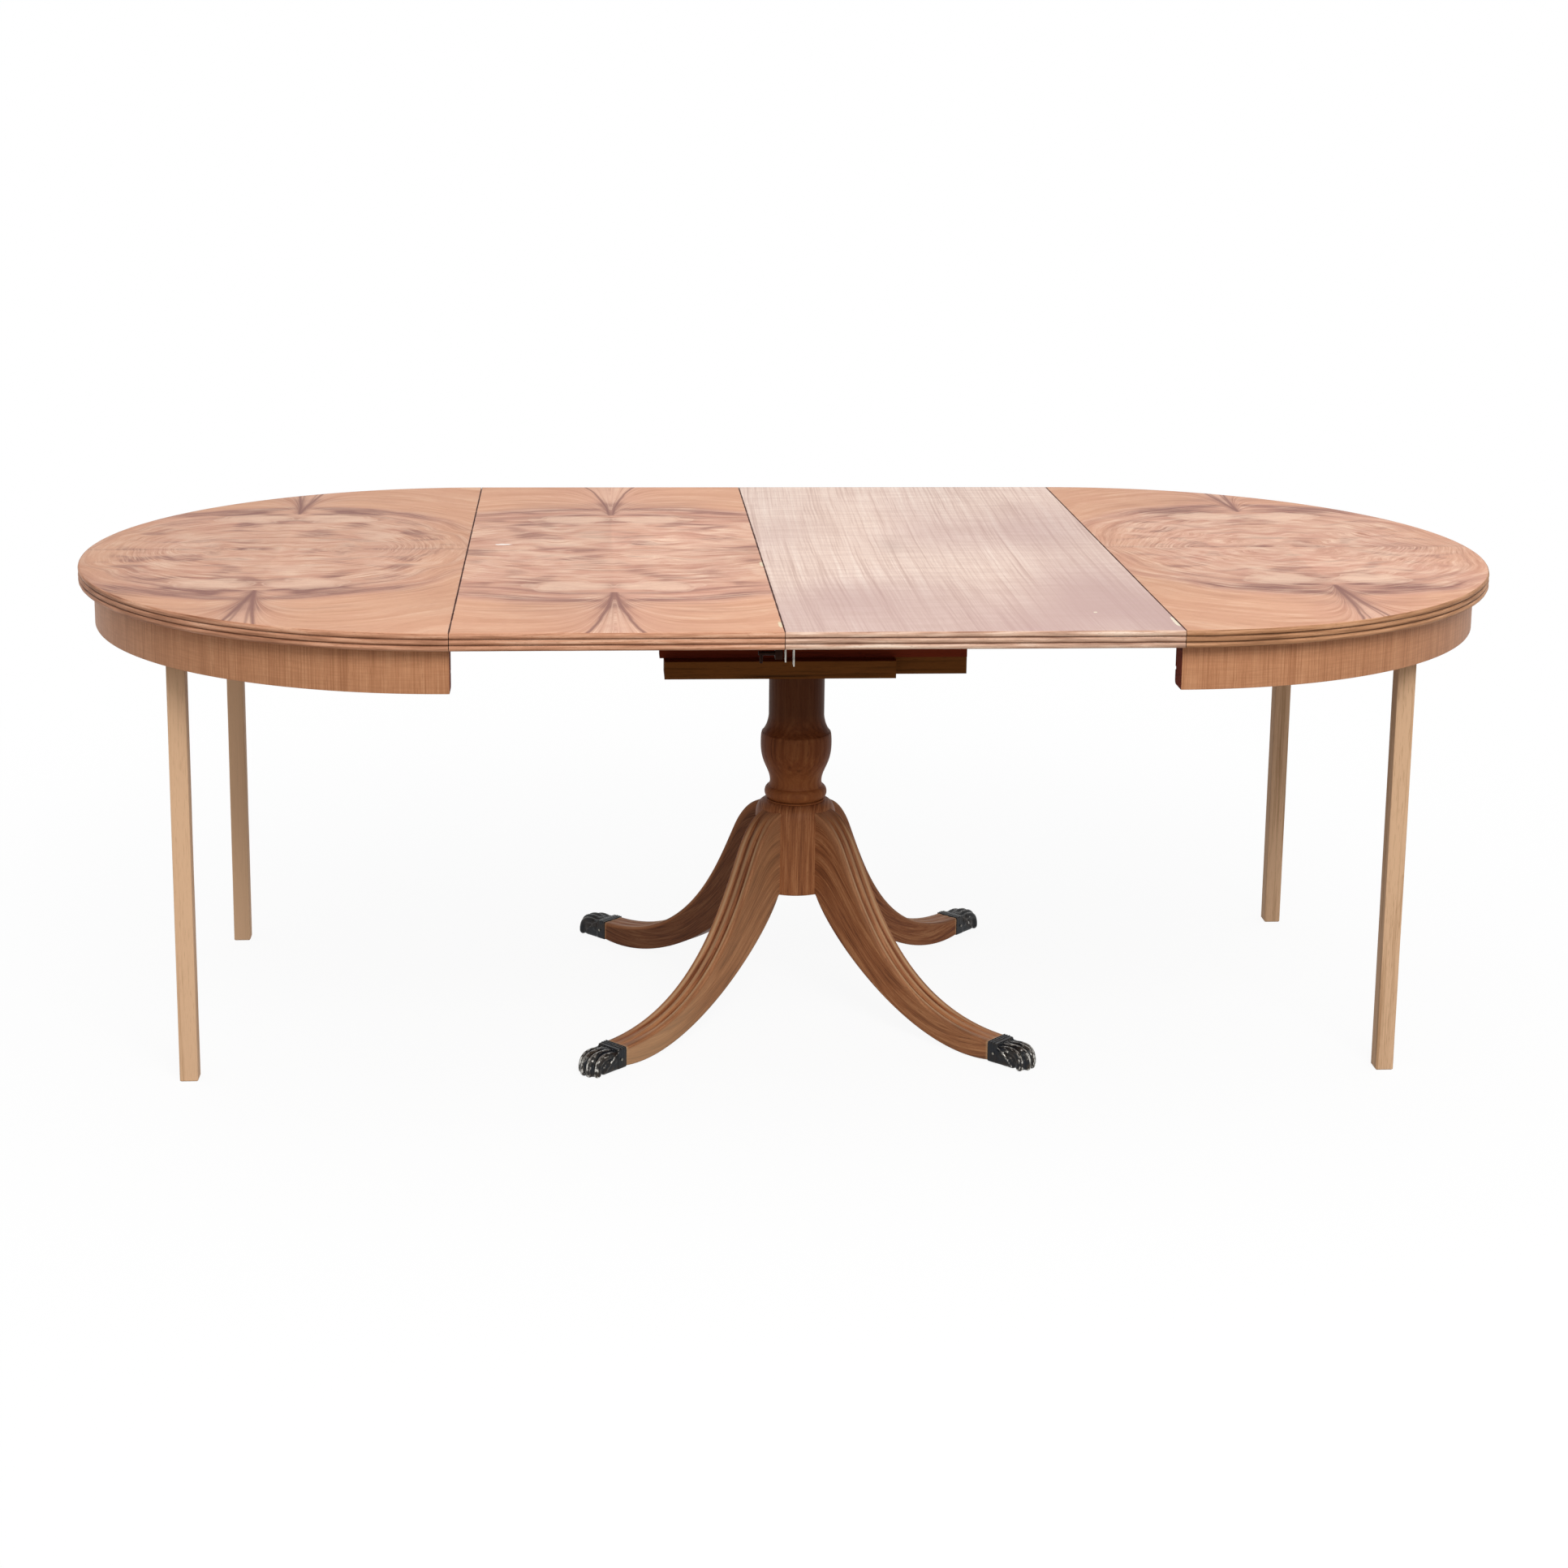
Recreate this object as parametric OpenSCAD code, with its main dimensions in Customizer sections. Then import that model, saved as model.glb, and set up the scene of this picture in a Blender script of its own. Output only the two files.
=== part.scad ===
// Round extending dining table on one turned pedestal with four sabre legs.
// It is drawn pulled open, with two loose leaves lying between the half-round ends.
// X runs along the table, Y across it, Z up; the origin is on the floor under the middle.

/* [Table top] */
// Height of the top above the floor
table_h = 742; // [700:1:780]
// Radius of the two half-round ends
top_r = 592; // [586:1:640]
// Thickness of the top at its reeded edge
top_t = 25; // [22:0.5:30]
// Width of the solid lipping round the top
lipping_w = 16; // [12:1:24]
// Number of reeds worked along the edge
reed_count = 3; // [2:1:4]
// Depth of the grooves between the reeds
reed_groove_d = 2.7; // [1.5:0.1:3.5]
// Width of the figured leaf on the left
left_leaf_w = 457; // [400:1:480]
// Width of the plain leaf on the right
right_leaf_w = 555; // [500:1:580]
// Open joint between two neighbouring tops
seam = 1; // [0.6:0.1:2]

/* [Apron] */
// How far the apron stands in from the edge of the top
apron_inset = 23; // [18:1:28]
// Height of the bent apron
apron_h = 65; // [56:1:80]
// Thickness of the bent apron
apron_t = 20; // [16:1:24]
// Length of the block behind each end of the apron
end_block_len = 60; // [40:1:90]
// Thickness of that block
end_block_t = 21; // [16:1:28]
// Radius of the block's lower inside corner
end_block_round = 6; // [3:0.5:9]
// Height of the notch in the block's inside face
notch_h = 5; // [3:0.5:8]
// Depth of that notch
notch_d = 4; // [2:0.5:6]
// Height of the notch above the apron's lower edge
notch_up = 20; // [14:1:30]

/* [Straight support legs] */
// Side of the square legs under the ends
prop_side = 27; // [22:1:36]
// Small bevel round the foot of each square leg
prop_bevel = 1.5; // [0.5:0.5:3]
// Left pair: distance of a leg's middle in from the apron's inner face
left_prop_in = 33; // [28:1:60]
// Left pair: how far round the half circle a leg stands from the long axis, in degrees
left_prop_turn = 38; // [34:1:44]
// Right pair: distance of a leg's middle in from the apron's inner face
right_prop_in = 29; // [28:1:60]
// Right pair: how far round the half circle a leg stands from the long axis, in degrees
right_prop_turn = 42; // [34:1:46]
// Length of the block that each square leg is bolted to
prop_block_len = 52; // [40:1:70]
// Width of that block
prop_block_w = 70; // [50:1:90]
// Height of that block
prop_block_h = 44; // [34:1:60]

/* [Column and hub] */
// How far the column stands to the right of the table's middle
pedestal_shift = 14; // [0:1:20]
// Radius of the straight shaft of the column
shaft_r = 44.5; // [38:0.5:48]
// Radius of the lip above the swelling
lip_r = 56; // [50:0.5:60]
// Radius of the turned swelling
bulb_r = 57; // [50:0.5:62]
// Radius of the narrow neck
neck_r = 41.5; // [34:0.5:44]
// Radius of the ring at the foot of the column
ring_r = 50; // [46:0.5:55]
// Radius of the hub that carries the sabre legs
hub_r = 64; // [58:0.5:70]
// Height of the hub's underside above the floor
hub_z = 190; // [180:1:200]
// Height of the hub
hub_h = 144; // [130:1:150]
// Height of the ring's middle above the hub
ring_up = 17; // [12:1:20]
// Height of the neck above the hub
neck_up = 32; // [28:1:40]
// Height of the widest point of the swelling above the hub
bulb_up = 94; // [80:1:100]
// Height of the lip above the hub
lip_up = 113; // [108:1:120]
// Height above the hub where the straight shaft begins
shaft_up = 140; // [130:1:160]
// Radius of the tenons at the two ends of the column
tenon_r = 25; // [18:0.5:30]
// Length of those tenons
tenon_len = 40; // [30:1:60]
// Radius of the steel plate under the hub
hub_plate_r = 48; // [44:1:56]
// Thickness of that plate
hub_plate_t = 3; // [2:0.5:4]
// Distance of that plate's screws from the middle
hub_screw_ring = 36; // [30:1:38]

/* [Sabre legs and paw caps] */
// Thickness of a sabre leg
sabre_t = 42; // [36:1:46]
// Distance of the leg's wooden end from the middle
sabre_end = 411; // [390:1:440]
// Height of the leg's top face where it enters the cap
sabre_end_top = 34; // [30:1:38]
// Height of the leg's lower face where it enters the cap
sabre_end_low = 4; // [3:0.5:8]
// Width of each groove along the top of the leg
sabre_groove_w = 5; // [3:0.5:7]
// Depth of each groove
sabre_groove_d = 3; // [1.5:0.5:5]
// Length of the dovetail that holds a leg in the hub
dovetail_len = 15; // [10:1:18]
// Width of the dovetail at its narrow root
dovetail_w = 18; // [12:1:24]
// Length of the socket of a paw cap
cap_socket_len = 24; // [18:1:30]
// Wall of the socket
cap_wall = 2.5; // [1.5:0.25:4]
// How far the socket stands proud of the leg
cap_proud = 1.5; // [0.5:0.25:2]
// Length of the paw in front of the socket
paw_len = 50; // [40:1:60]
// Number of toes on a paw
toe_count = 4; // [3:1:5]
// Radius of a toe
toe_r = 7.6; // [6:0.2:8]
// Half the length of a toe
toe_half = 19; // [16:0.5:22]
// Slope of the toes down to the floor, in degrees
toe_tilt = 48; // [40:1:55]
// How far the outer toes stand back from the middle ones
toe_back = 6; // [0:1:10]

/* [Bearers and slides] */
// Width of each bearer under the slides
bearer_w = 32; // [26:1:40]
// Height of the bearers
bearer_h = 27; // [22:1:36]
// Width of the facing screwed along each bearer
facing_w = 28; // [20:1:34]
// Distance of the bearers' lower face below the top
bearer_drop = 136; // [126:1:146]
// How far the bearers reach to the left of the column
bearer_left = 217; // [190:1:230]
// How far the bearers reach to the right of the column
bearer_right = 248; // [225:1:265]
// How far the facings reach to the right of the column
facing_right = 136; // [110:1:170]
// Distance between the inner faces of the two bearers
bearer_gap = 280; // [240:2:300]
// Length of the head block along the table
head_w = 150; // [110:2:180]
// Height of the head block between the bearers
head_h = 44; // [42:1:54]
// Length of the stub tenon at each end of the head block
stub_len = 14; // [8:1:18]
// Width of that tenon
stub_w = 80; // [50:2:100]
// Height of that tenon
stub_h = 13; // [8:1:15]
// Width of a slide fixed under an end
slide_w = 27; // [22:1:34]
// Height of such a slide
slide_h = 50; // [40:1:56]
// Width of the fixed slide in the middle of each bank
centre_slide_w = 32; // [28:1:40]
// How far the fixed slides reach past the bearers on the left
fixed_slide_past = 7; // [0:1:12]
// Height of the tongue that carries one slide on the next
tongue_h = 11; // [8:1:16]
// Depth of that tongue
tongue_d = 7; // [5:0.5:9]
// How far a slide reaches past the middle of the table
slide_past = 7; // [0:1:20]
// Length of a slide that is screwed under its end
slide_grip = 340; // [280:5:380]
// Distance that an end pulls out before its pegs meet the stop blocks
pull_out = 60; // [40:1:80]

/* [Leaf fittings] */
// Width of the battens under a leaf
batten_w = 40; // [30:1:50]
// Height of the battens
batten_h = 20; // [14:1:24]
// How far the battens stop short of the leaf's edges
batten_inset = 30; // [20:1:60]
// Radius of the locking bolt of a leaf
bolt_r = 3; // [2.5:0.25:4]
// Length of the locking bolt
bolt_len = 34; // [30:1:44]
// Distance of the bolt's axis below the leaf
bolt_drop = 9; // [8:0.5:12]
// Distance of the bolt's axis in from the reeded edge
bolt_in = 22; // [18:1:40]
// Length of the bolt's guide, and length of the keeper
guide_len = 10; // [8:1:14]
// Gap between the bolt guide and the edge of its leaf
guide_inset = 2; // [1:0.5:5]
// Thickness of the keeper's sheet metal
keeper_t = 1.5; // [1:0.25:2]
// Width of the guide and the keeper
keeper_w = 18; // [14:1:24]
// Depth of the keeper's flange beside the joint
keeper_near_h = 20; // [18:1:26]
// Depth of the keeper's other flange
keeper_far_h = 26; // [20:1:32]

/* [Screws and clearances] */
// Radius of a wood screw's shank
screw_r = 2.2; // [1.5:0.1:3]
// Radius of a wood screw's head
screw_head_r = 4.4; // [3.2:0.1:5]
// Radius of the bolts through the leg blocks
leg_bolt_r = 3.5; // [2.5:0.25:4]
// Radius of a stop peg
peg_r = 5; // [4:0.5:6]
// Length of a stop block
stop_len = 20; // [14:1:30]
// Clearance between a glued or screwed piece and its socket
fit_gap = 0.15; // [0.1:0.05:0.3]
// Clearance round pieces that slide on each other
slide_gap = 0.4; // [0.3:0.05:0.8]
// Clearance under a loose leaf
leaf_gap = 0.3; // [0.2:0.05:0.5]

/* [Hidden] */
$fn = 64;

LEFT = -1;
RIGHT = 1;
FRONT = -1;
REAR = 1;
eps = 0.01;

// Places along the table
joint_x = (left_leaf_w + right_leaf_w + 3 * seam) / 2;
left_leaf_x = -joint_x + seam;
right_leaf_x = left_leaf_x + left_leaf_w + seam;

// Heights
top_z = table_h - top_t;
apron_z = top_z - apron_h;
apron_r = top_r - apron_inset;
apron_inner_r = apron_r - apron_t;
slide_z = top_z - slide_h;
panel_r = top_r - lipping_w;
leaf_t = top_t - leaf_gap;

// Column and hub
hub_top = hub_z + hub_h;
bearer_z = top_z - bearer_drop;

// Cup and socket of a paw cap
cup_w = sabre_t + 2 * cap_proud;
cup_low = sabre_end_low - cap_proud;
cup_high = sabre_end_top + cap_proud;
socket_w = cup_w - 2 * cap_wall;
socket_low = cup_low + cap_wall;
socket_high = sabre_end_top - sabre_groove_d;

// Bearers and slides, all worked out for the rear bank and mirrored to the front
bearer_y = bearer_gap / 2;
facing_y = bearer_y + bearer_w;
slide_overhang = 2;
centre_slide_y = facing_y + slide_overhang - centre_slide_w / 2;
slide_side_gap = 1;
outer_slide_y = centre_slide_y + centre_slide_w / 2 + slide_side_gap + slide_w / 2;
inner_slide_y = centre_slide_y - centre_slide_w / 2 - slide_side_gap - slide_w / 2;
centre_slide_z = bearer_z + bearer_h;
stub_z = bearer_z + (bearer_h - stub_h) / 2;
tongue_z = slide_z + slide_h / 2 - tongue_h / 2;
slide_len = joint_x + slide_grip + slide_past;

// Leaf fittings: battens outside the outer slides, and a locking bolt near each reeded edge
batten_side_gap = 4;
batten_y = outer_slide_y + slide_w / 2 + batten_side_gap;
bolt_y = top_r - bolt_in;
bolt_z = top_z - bolt_drop;
bolt_hole_r = bolt_r + leaf_gap;
guide_x = left_leaf_x + left_leaf_w - guide_inset - guide_len;
keeper_x = right_leaf_x + seam / 2;

// Stops: a block on each fixed slide and a peg in each sliding one
stop_h = 25;
stop_drop = 2;
stop_w = 20;
peg_bury = 15;
peg_drop = 22;
peg_spare = 0.5;

// Screws
screw_bury = 14;
screw_cone_h = 3;
slide_screw_rows = [40, slide_grip / 2, slide_grip - 40];
bearer_screw_xs = [-bearer_left + 40, 0, bearer_right - 40];
hub_screw_len = screw_bury + 6;

// Side of the table that a sabre leg points to, as a turn about Z
SABRE_ANGLES = [225, 315, 135, 45];

wood_figured = [0.80, 0.58, 0.44];
wood_plain = [0.80, 0.66, 0.57];
wood_edge = [0.82, 0.62, 0.45];
wood_apron = [0.76, 0.52, 0.36];
wood_turned = [0.55, 0.34, 0.24];
wood_dark = [0.42, 0.25, 0.16];
wood_prop = [0.66, 0.53, 0.37];
metal_dark = [0.20, 0.20, 0.19];
metal_bright = [0.68, 0.66, 0.62];
metal_screw = [0.50, 0.48, 0.44];

// Points along an arc, and along a curve that is pulled towards one or two inner points
function arc_points(cx, cy, r, a0, a1, steps) =
    [for (i = [0 : steps]) let (a = a0 + (a1 - a0) * i / steps) [cx + r * cos(a), cy + r * sin(a)]];
function bend_points(p, q, r, steps) =
    [for (i = [0 : steps]) let (t = i / steps) (1 - t) * (1 - t) * p + 2 * t * (1 - t) * q + t * t * r];
function curve_points(p, q, r, s, steps) =
    [for (i = [0 : steps]) let (t = i / steps, u = 1 - t)
        u * u * u * p + 3 * t * u * u * q + 3 * t * t * u * r + t * t * t * s];

// Cross-section of the reeded edge: x outwards, y up
module reeded_section() {
    pitch = top_t / reed_count;
    reed_r = (reed_groove_d * reed_groove_d + pitch * pitch / 4) / (2 * reed_groove_d);
    intersection() {
        square([lipping_w, top_t]);
        union() {
            square([lipping_w - reed_r, top_t]);
            for (i = [0 : reed_count - 1])
                translate([lipping_w - reed_r, (i + 0.5) * pitch]) circle(reed_r);
        }
    }
}

// Turns a piece drawn for the right-hand end so that it suits the left or right end
module at_end(side) {
    translate([side * joint_x, 0, 0]) rotate([0, 0, side == LEFT ? 180 : 0]) children();
}

// Moves a piece of the pedestal, drawn round the column's axis, to its place under the top
module on_pedestal() {
    translate([pedestal_shift, 0, 0]) children();
}

// Repeats a piece at the rear and, mirrored, at the front
module both_sides() {
    children();
    mirror([0, 1, 0]) children();
}

// Half of a ring or disc standing out to +X
module half_turned(height) {
    translate([0, 0, height]) rotate([0, 0, -90]) rotate_extrude(angle = 180, $fn = 128) children();
}

// Countersunk wood screw pointing up, its head's face at z = 0
module wood_screw(length) {
    rotate_extrude()
        polygon([[0, 0], [screw_head_r, 0], [screw_r, screw_cone_h], [screw_r, length], [0, length]]);
}

// Hole for that screw, a little wider than the screw all over
module screw_hole(length) {
    rotate_extrude()
        polygon([[0, -1], [screw_head_r + fit_gap, -1], [screw_head_r + fit_gap, 0],
            [screw_r + fit_gap, screw_cone_h], [screw_r + fit_gap, length + fit_gap], [0, length + fit_gap]]);
}

// Turned column: tenon, shaft, lip, swelling, neck, ring and tenon
module column() {
    shaft_end = hub_top + shaft_up;
    lip_z = hub_top + lip_up;
    bulb_z = hub_top + bulb_up;
    neck_z = hub_top + neck_up;
    ring_z = hub_top + ring_up;
    ring_half = 7.5;
    foot_r = ring_r - 2;
    groove = 1.2;
    outline = concat(
        [[0, hub_top - tenon_len], [tenon_r, hub_top - tenon_len], [tenon_r, hub_top], [foot_r, hub_top]],
        [[foot_r, ring_z - ring_half]],
        arc_points(ring_r - ring_half, ring_z, ring_half, -80, 80, 8),
        bend_points([neck_r + 1, ring_z + ring_half + 1], [neck_r, neck_z - 3], [neck_r, neck_z], 4),
        curve_points([neck_r, neck_z + 1], [neck_r + 2, neck_z + 22], [bulb_r, bulb_z - 34],
            [bulb_r, bulb_z], 12),
        bend_points([bulb_r, bulb_z + 1], [bulb_r, lip_z - 5], [lip_r - groove, lip_z - 2], 4),
        [[lip_r - groove, lip_z], [lip_r, lip_z + 1]],
        curve_points([lip_r, lip_z + 3], [lip_r - 6, lip_z + 8], [shaft_r + 1.5, lip_z + 14],
            [shaft_r, shaft_end], 8),
        [[shaft_r, bearer_z], [tenon_r, bearer_z], [tenon_r, bearer_z + tenon_len], [0, bearer_z + tenon_len]]
    );
    color(wood_turned) rotate_extrude($fn = 96) polygon(outline);
}

// Wedge that a sabre leg slides into the hub with; grow widens the socket
module dovetail(grow) {
    flare = 0.5;
    low = hub_z + 12;
    high = hub_top - 22;
    inner_x = hub_r - dovetail_len - grow;
    outer_x = hub_r + 2;
    inner_y = (dovetail_w + dovetail_len * flare) / 2 + grow;
    outer_y = dovetail_w / 2 + grow;
    translate([0, 0, low - grow])
        linear_extrude(high - low + 2 * grow)
            polygon([[inner_x, -inner_y], [outer_x, -outer_y], [outer_x, outer_y], [inner_x, inner_y]]);
}

// Hub: a drum with a rounded shoulder, dovetail sockets and a bore for the column's tenon
module hub() {
    shoulder = 14;
    outline = concat(
        [[0, hub_z], [hub_r - 1, hub_z], [hub_r, hub_z + 1]],
        bend_points([hub_r, hub_top - shoulder], [hub_r - 2, hub_top - 3], [hub_r - shoulder, hub_top], 6),
        [[0, hub_top]]
    );
    color(wood_turned) difference() {
        rotate_extrude($fn = 96) polygon(outline);
        translate([0, 0, hub_top - tenon_len - 1]) cylinder(r = tenon_r + fit_gap, h = tenon_len + 2);
        for (a = SABRE_ANGLES) rotate([0, 0, a]) dovetail(fit_gap);
        for (a = [0 : 90 : 270])
            rotate([0, 0, a]) translate([hub_screw_ring, 0, hub_z - hub_plate_t]) screw_hole(hub_screw_len);
    }
}

// Round steel plate under the hub, and the screws that hold it
module hub_plate() {
    color(metal_screw) difference() {
        translate([0, 0, hub_z - hub_plate_t]) cylinder(r = hub_plate_r, h = hub_plate_t);
        for (a = [0 : 90 : 270])
            rotate([0, 0, a]) translate([hub_screw_ring, 0, hub_z - hub_plate_t]) screw_hole(hub_screw_len);
    }
}

module hub_plate_screws() {
    color(metal_bright) for (a = [0 : 90 : 270])
        rotate([0, 0, a]) translate([hub_screw_ring, 0, hub_z - hub_plate_t]) wood_screw(hub_screw_len);
}

// Side view of a sabre leg: x away from the column, y up; drop lowers the top edge
module sabre_outline(drop) {
    top_start = [hub_r - 12, hub_top - 5 - drop];
    top_bend = [hub_r + 24, hub_top - 16 - drop];
    top_knee = [hub_r + 48, hub_top - 58 - drop];
    // How hard the two long curves are pulled out from the hub and back from the leg's end
    knee_pull = 89;
    toe_pull = 197;
    heel_pull = 31;
    sole_pull = 149;
    polygon(concat(
        bend_points(top_start, top_bend, top_knee, 6),
        curve_points(top_knee + [1, -2], [hub_r + knee_pull, hub_z + 6 - drop],
            [sabre_end - toe_pull, sabre_end_top + 3 - drop], [sabre_end, sabre_end_top - drop], 14),
        curve_points([sabre_end, sabre_end_low], [sabre_end - sole_pull, -20],
            [hub_r + heel_pull, hub_z - 68], [hub_r - 2, hub_z], 12),
        [[hub_r - 12, hub_z]]
    ));
}

module sabre_slice(width, drop) {
    rotate([90, 0, 0]) translate([0, 0, -width / 2]) linear_extrude(width) sabre_outline(drop);
}

// Sabre leg with two grooves along its top, a dovetail at the hub and a tenon for the cap
module sabre_leg(angle) {
    tenon_w = socket_w - 2 * fit_gap;
    tenon_h = socket_high - socket_low - 2 * fit_gap;
    reed_w = (sabre_t - 2 * sabre_groove_w) / 3;
    color(wood_turned) rotate([0, 0, angle]) {
        difference() {
            union() {
                sabre_slice(sabre_t, sabre_groove_d);
                for (i = [-1 : 1])
                    translate([0, i * (reed_w + sabre_groove_w), 0]) sabre_slice(reed_w, 0);
            }
            translate([0, 0, hub_z - 1]) cylinder(r = hub_r + fit_gap, h = hub_h + 2);
        }
        intersection() {
            dovetail(0);
            translate([0, 0, hub_z]) cylinder(r = hub_r + 1, h = hub_h);
        }
        difference() {
            translate([sabre_end - 1, -tenon_w / 2, socket_low + fit_gap])
                cube([cap_socket_len - cap_wall, tenon_w, tenon_h]);
            cap_screw_places() screw_hole(screw_bury);
        }
    }
}

// The small screws through both sides of a cap into the leg's tenon
module cap_screw_places() {
    both_sides()
        translate([sabre_end + cap_socket_len / 2, -cup_w / 2, (socket_low + socket_high) / 2])
            rotate([-90, 0, 0]) children();
}

// Socket and paw: a square cup over the leg's end, then a pad and a row of toes on the floor
module paw_cap(angle) {
    paw_x = sabre_end + cap_socket_len;
    pad_len = paw_len - 2 * toe_r;
    pad_w = cup_w - 4;
    lap = 2;
    hump = 4;
    toe_x = paw_x + paw_len - toe_half * cos(toe_tilt) - toe_r * sin(toe_tilt);
    toe_z = toe_half * sin(toe_tilt) + toe_r * cos(toe_tilt) - 1;
    toe_pitch = (cup_w + 3 - 2 * toe_r) / (toe_count - 1);
    color(metal_dark) rotate([0, 0, angle]) difference() {
        union() {
            translate([sabre_end + fit_gap, -cup_w / 2, cup_low])
                cube([cap_socket_len, cup_w, cup_high - cup_low]);
            translate([paw_x, pad_w / 2, 0]) rotate([90, 0, 0]) linear_extrude(pad_w)
                polygon(concat([[-lap, cup_low], [toe_r, 0], [pad_len, 0]],
                    bend_points([pad_len + 3, toe_r], [pad_len - 2, cup_high + hump], [toe_r, cup_high + 1], 5),
                    [[-lap, cup_high - lap]]));
            for (i = [0 : toe_count - 1]) {
                outer = i == 0 || i == toe_count - 1;
                translate([outer ? toe_x - toe_back : toe_x, (i - (toe_count - 1) / 2) * toe_pitch, toe_z])
                    toe();
            }
        }
        translate([sabre_end - 1, -socket_w / 2, socket_low])
            cube([cap_socket_len - cap_wall + 1, socket_w, socket_high - socket_low]);
        cap_screw_places() screw_hole(screw_bury);
        translate([sabre_end, -cup_w, -cup_w]) cube([cap_socket_len + 2 * paw_len, 2 * cup_w, cup_w]);
    }
}

// One toe: an egg that slopes down and outwards from its knuckle to the floor
module toe() {
    steps = 10;
    half = [for (i = [0 : steps]) let (a = 180 * i / steps) [max(0, toe_r * sin(a)), toe_half * cos(a)]];
    rotate([0, 90 + toe_tilt, 0]) rotate_extrude() polygon(half);
}

module paw_cap_screws() {
    color(metal_bright) for (a = SABRE_ANGLES) rotate([0, 0, a]) cap_screw_places() wood_screw(screw_bury);
}

// Block on top of the column with a stub tenon into each bearer
module head_block() {
    color(wood_dark) difference() {
        union() {
            translate([-head_w / 2, -bearer_y, bearer_z]) cube([head_w, bearer_gap, head_h]);
            translate([-stub_w / 2, -bearer_y - stub_len, stub_z])
                cube([stub_w, bearer_gap + 2 * stub_len, stub_h]);
        }
        translate([0, 0, bearer_z - 1]) cylinder(r = tenon_r + fit_gap, h = head_h + 2);
    }
}

// Long bearer at the rear of the head block, with a mortise for its stub
module bearer() {
    difference() {
        translate([-bearer_left, bearer_y, bearer_z]) cube([bearer_left + bearer_right, bearer_w, bearer_h]);
        translate([-stub_w / 2 - fit_gap, bearer_y - 1, stub_z - fit_gap])
            cube([stub_w + 2 * fit_gap, stub_len + 1 + fit_gap, stub_h + 2 * fit_gap]);
        bearer_screw_places() screw_hole(bearer_h + screw_bury);
    }
}

module bearer_front() { color(wood_dark) mirror([0, 1, 0]) bearer(); }
module bearer_rear() { color(wood_dark) bearer(); }

// Facing along the outer side of each bearer
module bearer_facings() {
    color(wood_dark) both_sides()
        translate([-bearer_left, facing_y, bearer_z]) cube([bearer_left + facing_right, facing_w, bearer_h]);
}

// Screws up through the bearers into the fixed slides
module bearer_screw_places() {
    for (x = bearer_screw_xs)
        translate([x, facing_y - (bearer_w + centre_slide_w / 2) / 4, bearer_z]) children();
}

module bearer_screws() {
    color(metal_screw) both_sides() bearer_screw_places() wood_screw(bearer_h + screw_bury);
}

// Fixed slide on the bearers, grooved on both sides for the tongues of the moving slides
module centre_slide() {
    groove_h = tongue_h + 2 * slide_gap;
    groove_d = tongue_d + slide_gap;
    left_x = -bearer_left - fixed_slide_past;
    length = bearer_right - left_x;
    difference() {
        translate([left_x, centre_slide_y - centre_slide_w / 2, centre_slide_z])
            cube([length, centre_slide_w, top_z - centre_slide_z]);
        for (side = [-1, 1])
            translate([left_x - 1, centre_slide_y + side * centre_slide_w / 2 - groove_d,
                tongue_z - slide_gap])
                cube([length + 2, 2 * groove_d, groove_h]);
        bearer_screw_places() screw_hole(bearer_h + screw_bury);
    }
}

module centre_slide_front() { color(wood_dark) mirror([0, 1, 0]) centre_slide(); }
module centre_slide_rear() { color(wood_dark) centre_slide(); }

// Blocks on the fixed slides that the stop pegs run against
module stop_blocks() {
    z = slide_z - stop_drop - stop_h;
    color(wood_dark) both_sides() {
        translate([-bearer_left, centre_slide_y + centre_slide_w / 2, z]) cube([stop_len, stop_w, stop_h]);
        translate([bearer_right - stop_len, centre_slide_y - centre_slide_w / 2 - stop_w, z])
            cube([stop_len, stop_w, stop_h]);
    }
}

// Places and shapes that differ between the two ends
function end_slide_y(side) = side == LEFT ? outer_slide_y : inner_slide_y;
function end_tongue_side(side) = side == LEFT ? -1 : 1;
function end_reach(side) = side == LEFT ? bearer_left : bearer_right;
function peg_x(side) = pedestal_shift
    + side * (end_reach(side) - stop_len - peg_r - peg_spare - pull_out);
function peg_y(side) = centre_slide_y - end_tongue_side(side) * (centre_slide_w / 2 + stop_w / 2);
function prop_ring(side) = apron_inner_r - (side == LEFT ? left_prop_in : right_prop_in);
function prop_turn(side) = side == LEFT ? left_prop_turn : right_prop_turn;
function prop_out(side) = prop_ring(side) * cos(prop_turn(side));
function prop_side_y(side) = prop_ring(side) * sin(prop_turn(side));

// Half-round panel of an end, drilled for the screws of its two slides
module end_top(side) {
    color(wood_figured) difference() {
        at_end(side) half_turned(top_z) square([panel_r, top_t]);
        both_sides() end_slide_screw_places(side) screw_hole(slide_h + screw_bury);
    }
}

// Bent reeded lipping round an end
module end_lipping(side) {
    color(wood_edge) at_end(side) half_turned(top_z) translate([panel_r, 0]) reeded_section();
}

// Bent apron under an end
module end_apron(side) {
    color(wood_apron) at_end(side) half_turned(apron_z)
        translate([apron_inner_r, 0]) square([apron_t, apron_h]);
}

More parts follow.
